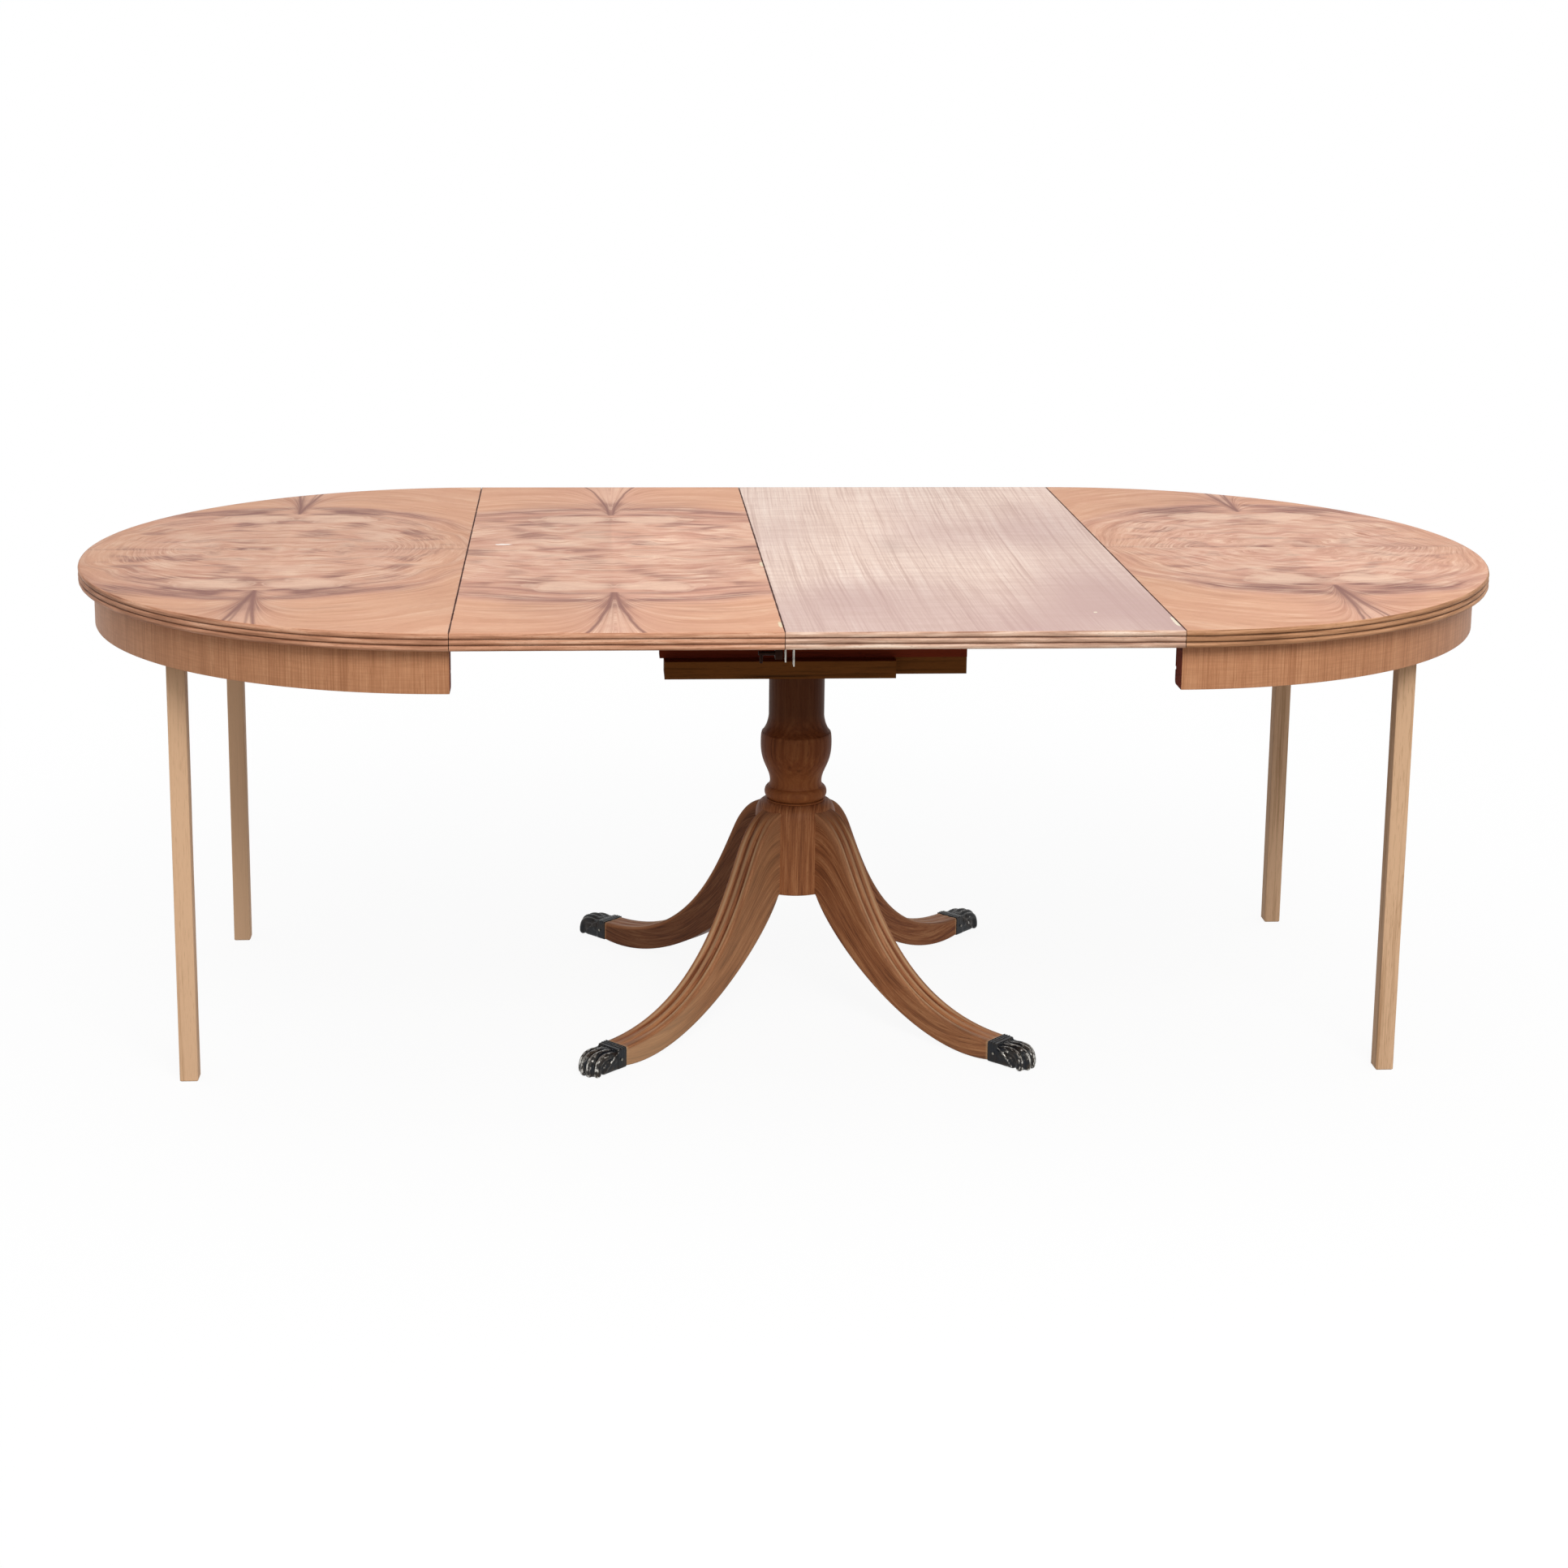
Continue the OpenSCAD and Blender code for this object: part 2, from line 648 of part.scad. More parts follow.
// Blocks behind the ends of an apron, with a rounded lower corner and a notch
module end_apron_blocks(side) {
    y0 = apron_inner_r - end_block_t;
    section = concat(
        arc_points(y0 + end_block_round, apron_z + end_block_round, end_block_round, 270, 180, 6),
        [[y0, apron_z + notch_up], [y0 + notch_d, apron_z + notch_up]],
        [[y0 + notch_d, apron_z + notch_up + notch_h], [y0, apron_z + notch_up + notch_h]],
        [[y0, top_z], [apron_inner_r, top_z], [apron_inner_r, apron_z]]
    );
    color(wood_dark) at_end(side) both_sides() intersection() {
        rotate([90, 0, 90]) linear_extrude(end_block_len) polygon(section);
        translate([0, 0, apron_z - 1]) cylinder(r = apron_inner_r - fit_gap, h = apron_h + 2, $fn = 128);
    }
}

// Slide under an end with its tongue; it runs past the middle of the table
module end_slide(side) {
    y = end_slide_y(side);
    tongue_reach = tongue_d + slide_side_gap;
    tongue_y = y + end_tongue_side(side) * slide_w / 2 - tongue_reach;
    color(wood_dark) difference() {
        union() {
            translate([0, y - slide_w / 2, slide_z]) slide_bar(side, slide_w, slide_h);
            translate([0, tongue_y, tongue_z]) slide_bar(side, 2 * tongue_reach, tongue_h);
        }
        end_slide_screw_places(side) screw_hole(slide_h + screw_bury);
        translate([peg_x(side), peg_y(side), slide_z - 1])
            cylinder(r = peg_r + fit_gap, h = peg_bury + 1 + fit_gap);
    }
}

// Bar from past the middle of the table to the slide's outer end
module slide_bar(side, width, height) {
    x0 = side == LEFT ? -joint_x - slide_grip : -slide_past;
    translate([x0, 0, 0]) cube([slide_len, width, height]);
}

module end_slide_screw_places(side) {
    for (x = slide_screw_rows)
        translate([side * (joint_x + x), end_slide_y(side), slide_z]) children();
}

module end_slide_screws(side) {
    color(metal_screw) both_sides() end_slide_screw_places(side) wood_screw(slide_h + screw_bury);
}

module end_stop_pegs(side) {
    color(metal_screw) both_sides()
        translate([peg_x(side), peg_y(side), slide_z - peg_drop])
            cylinder(r = peg_r, h = peg_drop + peg_bury);
}

// Square support leg from the floor to the underside of the top, rear one of its pair
module prop(side) {
    half = prop_side / 2;
    bore_z = top_z - prop_block_h / 2;
    difference() {
        translate([side * (joint_x + prop_out(side)), prop_side_y(side), 0])
            difference() {
                translate([-half, -half, 0]) cube([prop_side, prop_side, top_z]);
                for (a = [0 : 90 : 270])
                    rotate([0, 0, a]) translate([half - prop_bevel, -half - 1, -eps])
                        rotate([-90, 0, 0]) linear_extrude(prop_side + 2)
                            polygon([[0, eps], [prop_bevel + 1, eps], [prop_bevel + 1, -prop_bevel - 1]]);
            }
        prop_bolt_place(side) prop_bolt_hole();
    }
}

// Bolt through the block into the leg, pointing outwards along X
module prop_bolt_place(side) {
    translate([side * (joint_x + prop_out(side) - prop_side / 2 - prop_block_len), prop_side_y(side),
        top_z - prop_block_h / 2])
        rotate([0, side * 90, 0]) children();
}

module prop_bolt_hole() {
    translate([0, 0, -1])
        cylinder(r = leg_bolt_r + fit_gap, h = prop_block_len + prop_side * 0.7 + 1 + fit_gap);
}

// Block under the top that each square leg is bolted to
module prop_blocks(side) {
    length = prop_block_len;
    color(wood_prop) both_sides() difference() {
        translate([side * (joint_x + prop_out(side) - prop_side / 2 - length / 2) - length / 2,
            prop_side_y(side) - prop_block_w / 2, top_z - prop_block_h])
            cube([length, prop_block_w, prop_block_h]);
        prop_bolt_place(side) prop_bolt_hole();
    }
}

module prop_bolts(side) {
    head_h = 5;
    color(metal_screw) both_sides() prop_bolt_place(side) union() {
        cylinder(r = leg_bolt_r, h = prop_block_len + prop_side * 0.7);
        translate([0, 0, -head_h]) cylinder(r = leg_bolt_r * 1.9, h = head_h, $fn = 6);
    }
}

// Panel of a loose leaf
module leaf_panel(x0, width, tint) {
    color(tint) difference() {
        translate([x0, -panel_r, top_z + leaf_gap]) cube([width, 2 * panel_r, leaf_t]);
        both_sides() batten_screw_places(x0, width) screw_hole(batten_h + screw_bury);
    }
}

// Reeded lippings along the front and rear of a leaf
module leaf_lippings(x0, width) {
    color(wood_edge) both_sides()
        translate([x0, panel_r, top_z]) rotate([90, 0, 90]) linear_extrude(width) reeded_section();
}

// Battens under a leaf, just outside the outer slides
module leaf_battens(x0, width) {
    color(wood_dark) both_sides() difference() {
        translate([x0 + batten_inset, batten_y, top_z + leaf_gap - batten_h])
            cube([width - 2 * batten_inset, batten_w, batten_h]);
        batten_screw_places(x0, width) screw_hole(batten_h + screw_bury);
    }
}

module batten_screw_places(x0, width) {
    for (x = [x0 + 2 * batten_inset, x0 + width / 2, x0 + width - 2 * batten_inset])
        translate([x, batten_y + batten_w / 2, top_z + leaf_gap - batten_h]) children();
}

module leaf_screws(x0, width) {
    color(metal_screw) both_sides() batten_screw_places(x0, width) wood_screw(batten_h + screw_bury);
}

// Block under the left leaf that the bolt slides in
module bolt_guides() {
    guide_h = bolt_drop + bolt_r + 4;
    color(metal_dark) both_sides() difference() {
        translate([guide_x, bolt_y - keeper_w / 2, top_z - guide_h]) cube([guide_len, keeper_w, guide_h]);
        translate([guide_x - 1, bolt_y, bolt_z]) rotate([0, 90, 0])
            cylinder(r = bolt_hole_r, h = guide_len + 2);
    }
}

// Bent keeper under the right leaf: a plate with two holed flanges
module keepers() {
    reach = guide_len + 3;
    color(metal_bright) both_sides() difference() {
        union() {
            translate([keeper_x, bolt_y - keeper_w / 2, top_z - keeper_t]) cube([reach, keeper_w, keeper_t]);
            translate([keeper_x, bolt_y - keeper_w / 2, top_z - keeper_near_h])
                cube([keeper_t, keeper_w, keeper_near_h]);
            translate([keeper_x + reach - keeper_t, bolt_y - keeper_w / 2, top_z - keeper_far_h])
                cube([keeper_t, keeper_w, keeper_far_h]);
        }
        translate([keeper_x - 1, bolt_y, bolt_z]) rotate([0, 90, 0]) cylinder(r = bolt_hole_r, h = reach + 2);
    }
}

// Locking bolt with a bent thumb piece, drawn back clear of the joint
module leaf_bolt() {
    tip_x = left_leaf_x + left_leaf_w - guide_inset / 2;
    grip_len = 14;
    grip_r = 2;
    color(metal_screw) union() {
        translate([tip_x - bolt_len, bolt_y, bolt_z]) rotate([0, 90, 0]) cylinder(r = bolt_r, h = bolt_len);
        translate([tip_x - bolt_len + bolt_r + 1, bolt_y, bolt_z - grip_len])
            cylinder(r = grip_r, h = grip_len);
    }
}

module leaf_bolt_front() { mirror([0, 1, 0]) leaf_bolt(); }
module leaf_bolt_rear() { leaf_bolt(); }

on_pedestal() column();
on_pedestal() hub();
on_pedestal() hub_plate();
on_pedestal() hub_plate_screws();
on_pedestal() sabre_leg(SABRE_ANGLES[0]);  // sabre_leg_front_left
on_pedestal() sabre_leg(SABRE_ANGLES[1]);  // sabre_leg_front_right
on_pedestal() sabre_leg(SABRE_ANGLES[2]);  // sabre_leg_rear_left
on_pedestal() sabre_leg(SABRE_ANGLES[3]);  // sabre_leg_rear_right
on_pedestal() paw_cap(SABRE_ANGLES[0]);  // paw_cap_front_left
on_pedestal() paw_cap(SABRE_ANGLES[1]);  // paw_cap_front_right
on_pedestal() paw_cap(SABRE_ANGLES[2]);  // paw_cap_rear_left
on_pedestal() paw_cap(SABRE_ANGLES[3]);  // paw_cap_rear_right
on_pedestal() paw_cap_screws();
on_pedestal() head_block();
on_pedestal() bearer_front();
on_pedestal() bearer_rear();
on_pedestal() bearer_facings();
on_pedestal() centre_slide_front();
on_pedestal() centre_slide_rear();
on_pedestal() bearer_screws();
on_pedestal() stop_blocks();
end_top(LEFT);  // left_end_top
end_lipping(LEFT);  // left_end_lipping
end_apron(LEFT);  // left_end_apron
end_apron_blocks(LEFT);  // left_end_apron_blocks
mirror([0, 1, 0]) end_slide(LEFT);  // left_slide_front
end_slide(LEFT);  // left_slide_rear
end_slide_screws(LEFT);  // left_slide_screws
end_stop_pegs(LEFT);  // left_stop_pegs
color(wood_prop) mirror([0, 1, 0]) prop(LEFT);  // left_prop_front
color(wood_prop) prop(LEFT);  // left_prop_rear
prop_blocks(LEFT);  // left_prop_blocks
prop_bolts(LEFT);  // left_prop_bolts
end_top(RIGHT);  // right_end_top
end_lipping(RIGHT);  // right_end_lipping
end_apron(RIGHT);  // right_end_apron
end_apron_blocks(RIGHT);  // right_end_apron_blocks
mirror([0, 1, 0]) end_slide(RIGHT);  // right_slide_front
end_slide(RIGHT);  // right_slide_rear
end_slide_screws(RIGHT);  // right_slide_screws
end_stop_pegs(RIGHT);  // right_stop_pegs
color(wood_prop) mirror([0, 1, 0]) prop(RIGHT);  // right_prop_front
color(wood_prop) prop(RIGHT);  // right_prop_rear
prop_blocks(RIGHT);  // right_prop_blocks
prop_bolts(RIGHT);  // right_prop_bolts
leaf_panel(left_leaf_x, left_leaf_w, wood_figured);  // left_leaf_panel
leaf_lippings(left_leaf_x, left_leaf_w);  // left_leaf_lippings
leaf_battens(left_leaf_x, left_leaf_w);  // left_leaf_battens
leaf_screws(left_leaf_x, left_leaf_w);  // left_leaf_screws
bolt_guides();
leaf_panel(right_leaf_x, right_leaf_w, wood_plain);  // right_leaf_panel
leaf_lippings(right_leaf_x, right_leaf_w);  // right_leaf_lippings
leaf_battens(right_leaf_x, right_leaf_w);  // right_leaf_battens
leaf_screws(right_leaf_x, right_leaf_w);  // right_leaf_screws
keepers();
leaf_bolt_front();
leaf_bolt_rear();
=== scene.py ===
import math

import bmesh
import bpy
from mathutils import Matrix, Vector, noise


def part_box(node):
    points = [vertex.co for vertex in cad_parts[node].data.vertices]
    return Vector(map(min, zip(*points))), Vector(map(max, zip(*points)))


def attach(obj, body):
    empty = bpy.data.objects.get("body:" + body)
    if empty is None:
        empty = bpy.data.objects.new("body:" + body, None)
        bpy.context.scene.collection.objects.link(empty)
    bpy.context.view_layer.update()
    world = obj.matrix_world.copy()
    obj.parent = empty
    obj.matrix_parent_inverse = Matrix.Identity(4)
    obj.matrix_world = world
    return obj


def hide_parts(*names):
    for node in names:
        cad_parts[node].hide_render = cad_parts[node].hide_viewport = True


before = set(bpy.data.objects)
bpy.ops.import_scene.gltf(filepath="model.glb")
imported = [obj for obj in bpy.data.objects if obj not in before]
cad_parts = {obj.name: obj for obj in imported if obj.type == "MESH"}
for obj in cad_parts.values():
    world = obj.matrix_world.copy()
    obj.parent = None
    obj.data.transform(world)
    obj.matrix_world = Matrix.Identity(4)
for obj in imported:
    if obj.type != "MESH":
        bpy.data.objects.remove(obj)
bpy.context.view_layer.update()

bl_info = {
    "name": "Round extending dining table",
    "version": (1, 0, 0),
    "blender": (4, 5, 0),
    "location": "View3D > Sidebar > Dining table",
    "description": "Dresses the table's frame: veneered top, reeded edges, turned column, sabre legs and paw caps",
    "category": "Object",
}

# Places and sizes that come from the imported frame, in metres
TOP_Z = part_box("left_end_lipping")[1][2]
UNDER_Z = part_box("left_end_lipping")[0][2]
JOINT_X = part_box("right_end_lipping")[0][0]
TOP_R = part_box("left_end_lipping")[1][1]
PANEL_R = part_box("left_end_top")[1][1]
APRON_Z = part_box("left_end_apron")[0][2]
APRON_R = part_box("left_end_apron")[1][1]
LEFT_LEAF_X = (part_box("left_leaf_panel")[0][0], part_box("left_leaf_panel")[1][0])
RIGHT_LEAF_X = (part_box("right_leaf_panel")[0][0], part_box("right_leaf_panel")[1][0])
HUB_LOW, HUB_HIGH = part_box("hub")
COLUMN_X = (HUB_LOW[0] + HUB_HIGH[0]) / 2
HUB_Z = HUB_LOW[2]
HUB_TOP = HUB_HIGH[2]
HUB_R = (HUB_HIGH[0] - HUB_LOW[0]) / 2
COLUMN_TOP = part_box("column")[1][2]
BEARER_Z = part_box("bearer_front")[0][2]
MM = 0.001

# The two half-round ends, each with the side of the table it stands on
ENDS = ((-1, "left_end"), (1, "right_end"))
# One cut of the swept edges, and the smallest gap between two points that stay apart
SWEEP_STEP = 0.006
SAME_SPOT = 1e-6

# Materials that more than one function asks for
CROTCH = "crotch mahogany veneer, sanded bare"
PLAIN = "plain mahogany leaf, sanded bare"


def linear(text):
    """An sRGB hex colour as linear red, green, blue and alpha."""
    parts = [int(text[i:i + 2], 16) / 255 for i in (1, 3, 5)]
    return tuple(c / 12.92 if c <= 0.04045 else ((c + 0.055) / 1.055) ** 2.4 for c in parts) + (1.0,)


def colour(label, text, about):
    """A colour property with that sRGB hex value as its default."""
    return bpy.props.FloatVectorProperty(
        name=label, description=about, subtype="COLOR", size=4, min=0.0, max=1.0, default=linear(text))


def length(label, value, about):
    """A length property, in metres."""
    return bpy.props.FloatProperty(name=label, description=about, default=value, unit="LENGTH", min=0.0)


class TopLook(bpy.types.PropertyGroup):
    veneer_pale: colour("Veneer, pale", "#F0CCB2", "Pale growth lines of the crotch veneer")
    veneer_mid: colour("Veneer, middle", "#DAA88E", "General colour of the crotch veneer")
    veneer_deep: colour("Veneer, deep", "#B98068", "Darker growth lines of the crotch veneer")
    plume: colour("Plume", "#8A5B50", "Purple-brown streaks of the plumes")
    gold: colour("Golden corners", "#DEA67F", "Veneer outside the rings")
    leaf_pale: colour("Plain leaf, pale", "#FAE6D8", "Pale lines of the plain leaf")
    leaf_mid: colour("Plain leaf, middle", "#ECD2C4", "General colour of the plain leaf")
    leaf_deep: colour("Plain leaf, deep", "#C4A497", "Grey-brown lines of the plain leaf")
    cell: length("Cell", 0.0040, "Size of the grid that carries the figure")


class EdgeLook(bpy.types.PropertyGroup):
    pale: colour("Edge, pale", "#E4B698", "Rubbed crowns of the reeds")
    mid: colour("Edge, middle", "#C58C6C", "Solid lipping")
    deep: colour("Edge, deep", "#8E5839", "Grain of the lipping")
    plain_pale: colour("Plain edge, pale", "#F2D8C4", "Rubbed crowns of the plain leaf's reeds")
    plain_mid: colour("Plain edge, middle", "#CEA289", "Lipping of the plain leaf")
    plain_deep: colour("Plain edge, deep", "#8F614B", "Grain of the plain leaf's lipping")
    tan_pale: colour("Tan edge, pale", "#D3A17B", "Rubbed crowns of the right end's reeds")
    tan_mid: colour("Tan edge, middle", "#B27F59", "Lipping of the right end")
    tan_deep: colour("Tan edge, deep", "#794D2C", "Grain of the right end's lipping")
    reeds: bpy.props.IntProperty(name="Reeds", description="Reeds along the edge", default=3, min=1, max=5)
    groove: length("Groove", 0.0027, "Depth of the grooves between the reeds")


class ApronLook(bpy.types.PropertyGroup):
    pale: colour("Apron, pale", "#DEA77F", "Pale ribbons of the apron veneer")
    mid: colour("Apron, middle", "#CC916A", "General colour of the apron veneer")
    deep: colour("Apron, deep", "#A56E4B", "Dark ribbons of the apron veneer")


class PedestalLook(bpy.types.PropertyGroup):
    pale: colour("Pedestal, pale", "#C0875C", "Pale grain of column, hub and sabre legs")
    mid: colour("Pedestal, middle", "#9E613B", "General colour of column, hub and sabre legs")
    deep: colour("Pedestal, deep", "#5F3017", "Dark grain of column, hub and sabre legs")
    leg_width: length("Leg thickness", 0.042, "Thickness of a sabre leg")
    # Also the colour of the painted light on the cheeks of the lit sabre legs
    rubbed: colour("Pedestal, rubbed", "#D2AC84", "Bare, greyed wood on the reeds of the sabre legs")
    reed_groove: length("Reed groove", 0.0032, "Depth of the grooves along a sabre leg")


# Pale and middle colours darker than the pedestal's: painted shade for the column, which stands under the top
class ColumnLook(bpy.types.PropertyGroup):
    pale: colour("Column, pale", "#A0643A", "Pale grain of the turned column")
    mid: colour("Column, middle", "#884C29", "General colour of the turned column")
    deep: colour("Column, deep", "#69371C", "Dark grain of the turned column")


class PawLook(bpy.types.PropertyGroup):
    patina: colour("Patina", "#161719", "Dark patina of the brass")
    brass: colour("Rubbed brass", "#CFCDC6", "Brass where the patina is rubbed off")
    voxel: length("Voxel", 0.0009, "Fineness of the cast surface")


class UnderframeLook(bpy.types.PropertyGroup):
    bearer: colour("Bearers", "#7C4A1A", "Stained wood of the bearers and their facings")
    bearer_deep: colour("Bearers, deep", "#4A2809", "Dark grain of the bearers")
    slide: colour("Slides", "#7E2F15", "Stained wood of slides, blocks and undersides")
    slide_deep: colour("Slides, deep", "#3E160C", "Dark grain of the slides")
    prop_pale: colour("Straight legs, pale", "#E2BA95", "Pale grain of the straight legs")
    prop_deep: colour("Straight legs, deep", "#AD835D", "Dark grain of the straight legs")


class StageLook(bpy.types.PropertyGroup):
    sky_high: bpy.props.FloatProperty(name="Sky, high", description="Strength of the light from above", default=0.96,
                                      min=0.0)
    sky_low: bpy.props.FloatProperty(name="Sky, low", description="Strength of the light from the sides",
                                     default=0.46, min=0.0)
    front: bpy.props.FloatProperty(name="Front light", description="Power of the large light in front", default=168.0,
                                   min=0.0, unit="POWER")


LOOKS = {"table_top": TopLook, "table_edge": EdgeLook, "table_apron": ApronLook, "table_pedestal": PedestalLook,
         "table_column": ColumnLook, "table_paw": PawLook, "table_underframe": UnderframeLook,
         "table_stage": StageLook}


# Node and mesh helpers

def put(tree, kind, links=None, stops=(), **settings):
    """Adds a node, sets its settings and its (place, colour) stops, and joins or fills its inputs."""
    node = tree.nodes.new(kind)
    for name, value in settings.items():
        setattr(node, name, value)
    for index, (place, shade) in enumerate(stops):
        points = node.color_ramp.elements
        point = points[index] if index < len(points) else points.new(place)
        point.position = place
        point.color = shade
    for key, value in (links or {}).items():
        if isinstance(value, bpy.types.NodeSocket):
            tree.links.new(value, node.inputs[key])
        elif isinstance(value, bpy.types.Node):
            tree.links.new(value.outputs[0], node.inputs[key])
        else:
            node.inputs[key].default_value = value
    return node


def new_material(name, roughness, metallic=0.0, specular=0.5):
    """An empty Principled material: returns it, its tree and its shader."""
    material = bpy.data.materials.new(name)
    material.use_nodes = True
    tree = material.node_tree
    shader = tree.nodes["Principled BSDF"]
    shader.inputs["Roughness"].default_value = roughness
    shader.inputs["Metallic"].default_value = metallic
    shader.inputs["Specular IOR Level"].default_value = specular
    return material, tree, shader


def kept(name, make):
    """A material that several pieces share, made the first time it is asked for."""
    return bpy.data.materials.get(name) or make(name)


def grained(tree, place, along_mm, line_mm, band_mm, pore_mm, waver_mm, seed):
    """Wood pattern on a place in metres whose X runs with the grain: returns lines, bands and pores, 0 to 1."""
    sway = put(tree, "ShaderNodeTexNoise", {"Vector": put(tree, "ShaderNodeMapping", {
        "Vector": place, "Location": (seed, seed * 0.7, seed * 1.3), "Scale": (4.0, 14.0, 14.0)}),
        "Scale": 1.0, "Detail": 2.0, "Roughness": 0.5})
    swayed = put(tree, "ShaderNodeVectorMath", {
        0: put(tree, "ShaderNodeVectorMath", {0: sway.outputs["Color"], 1: (0.5, 0.5, 0.5)}, operation="SUBTRACT"),
        1: (0.0, waver_mm * 2 * MM, waver_mm * 2 * MM)}, operation="MULTIPLY")
    bent = put(tree, "ShaderNodeVectorMath", {0: place, 1: swayed}, operation="ADD")
    found = []
    for across, stretch, detail in ((line_mm, 1.0, 5.0), (band_mm, 2.2, 2.0), (pore_mm, 0.12, 1.0)):
        scale = (1 / (along_mm * stretch * MM), 1 / (across * MM), 1 / (across * MM))
        spot = put(tree, "ShaderNodeMapping", {"Vector": bent, "Location": (seed, -seed, seed), "Scale": scale})
        found.append(put(tree, "ShaderNodeTexNoise", {
            "Vector": spot, "Scale": 1.0, "Detail": detail, "Roughness": 0.62}).outputs["Fac"])
    return found


def place_of(tree, attribute=None, turn=(0.0, 0.0, 0.0)):
    """The place that a pattern reads: Object coordinates, or a stored attribute, turned so that X is the grain."""
    if attribute:
        source = put(tree, "ShaderNodeAttribute", attribute_name=attribute).outputs["Vector"]
    else:
        source = put(tree, "ShaderNodeTexCoord").outputs["Object"]
    return put(tree, "ShaderNodeMapping", {"Vector": source, "Rotation": turn}).outputs["Vector"]


def worn_and_painted_light(tree, shade, pale, dirt):
    """Pale where the piece's stored attribute is above 0, dark where it is below, to 1 and -1: rubbed high spots and
    dirt in hollows, and painted light and shade on column, hub and legs.
    """
    wear_and_painted_light = put(tree, "ShaderNodeAttribute", attribute_name="wear_and_painted_light").outputs["Fac"]
    high = put(tree, "ShaderNodeMapRange", {
        "Value": wear_and_painted_light, "From Min": 0.05, "From Max": 1.0, "To Min": 0.0, "To Max": 0.75})
    low = put(tree, "ShaderNodeMapRange", {
        "Value": wear_and_painted_light, "From Min": -0.05, "From Max": -1.0, "To Min": 0.0, "To Max": 0.85})
    rubbed = put(tree, "ShaderNodeMix", {"Factor": high.outputs["Result"], "A": shade, "B": pale}, data_type="RGBA")
    return put(tree, "ShaderNodeMix", {
        "Factor": low.outputs["Result"], "A": rubbed.outputs["Result"], "B": dirt},
        data_type="RGBA").outputs["Result"]


def with_pores(tree, shade, pore, dark, most):
    """Open pores, up to that much of their dark colour."""
    filled = put(tree, "ShaderNodeMapRange", {
        "Value": pore, "From Min": 0.40, "From Max": 0.30, "To Min": 0.0, "To Max": most})
    return put(tree, "ShaderNodeMix", {
        "Factor": filled.outputs["Result"], "A": shade, "B": dark}, data_type="RGBA").outputs["Result"]


def wood(name, pale, mid, deep, attribute=None, turn=(0.0, 0.0, 0.0), along_mm=160, line_mm=5.0, band_mm=38,
         pore_mm=0.9, waver_mm=3.0, roughness=0.55, specular=0.35, seed=1.0, pores=0.5, bump=0.12, spread=0.16,
         rubbed=None):
    """A sawn or planed wood: growth lines, broad bands and open pores along the grain, rubbing and dirt, and painted
    light and shade on some pieces.
    """
    material, tree, shader = new_material(name, roughness, specular=specular)
    place = place_of(tree, attribute, turn)
    line, band, pore = grained(tree, place, along_mm, line_mm, band_mm, pore_mm, waver_mm, seed)
    mixed = put(tree, "ShaderNodeMix", {"Factor": 0.42, "A": line, "B": band}, data_type="FLOAT")
    tone = put(tree, "ShaderNodeValToRGB", {"Fac": mixed.outputs["Result"]},
               stops=[(0.5 - spread, deep), (0.5, mid), (0.5 + spread, pale)])
    shade = with_pores(tree, tone.outputs["Color"], pore, deep, pores)
    # Dark colour for dirt in hollows and for painted shade, pale colour for rubbed spots and for painted light
    dirt = tuple(c * 0.3 for c in tuple(deep)[:3]) + (1.0,)
    light = rubbed or tuple(min(1.0, c * 1.25) for c in tuple(pale)[:3]) + (1.0,)
    tree.links.new(worn_and_painted_light(tree, shade, light, dirt), shader.inputs["Base Color"])
    rough = put(tree, "ShaderNodeMapRange", {
        "Value": line, "From Min": 0.3, "From Max": 0.7, "To Min": roughness + 0.08, "To Max": roughness - 0.06})
    tree.links.new(rough.outputs["Result"], shader.inputs["Roughness"])
    relief = put(tree, "ShaderNodeMix", {"Factor": 0.6, "A": line, "B": pore}, data_type="FLOAT")
    lift = put(tree, "ShaderNodeBump", {"Height": relief.outputs["Result"], "Strength": bump, "Distance": 0.0003})
    tree.links.new(lift.outputs["Normal"], shader.inputs["Normal"])
    return material


def add_piece(name, data):
    """A new object of that data in the scene, at the origin."""
    piece = bpy.data.objects.new(name, data)
    bpy.context.scene.collection.objects.link(piece)
    return piece


def outward(mesh, merge=True, smooth=True):
    """Merges a mesh's doubles, turns its faces outwards and shades them smooth or flat."""
    shaped = bmesh.new()
    shaped.from_mesh(mesh)
    if merge:
        bmesh.ops.remove_doubles(shaped, verts=shaped.verts, dist=SAME_SPOT)
    bmesh.ops.recalc_face_normals(shaped, faces=shaped.faces)
    shaped.to_mesh(mesh)
    shaped.free()
    mesh.polygons.foreach_set("use_smooth", [smooth] * len(mesh.polygons))


def mesh_object(name, points, faces, smooth=True):
    """A mesh object at the origin from points and faces, with its faces turned outwards."""
    mesh = bpy.data.meshes.new(name)
    mesh.from_pydata([tuple(p) for p in points], [], faces)
    outward(mesh, smooth=smooth)
    return add_piece(name, mesh)


def store(piece, name, kind, values):
    """Stores one value or vector for each point of a piece."""
    layer = piece.data.attributes.new(name, kind, "POINT")
    if kind == "FLOAT_VECTOR":
        layer.data.foreach_set("vector", [c for value in values for c in value])
    else:
        layer.data.foreach_set("value", values)


def crease(piece, degrees):
    """Keeps edges sharper than that angle sharp in smooth shading."""
    piece.data.set_sharp_from_angle(angle=math.radians(degrees))


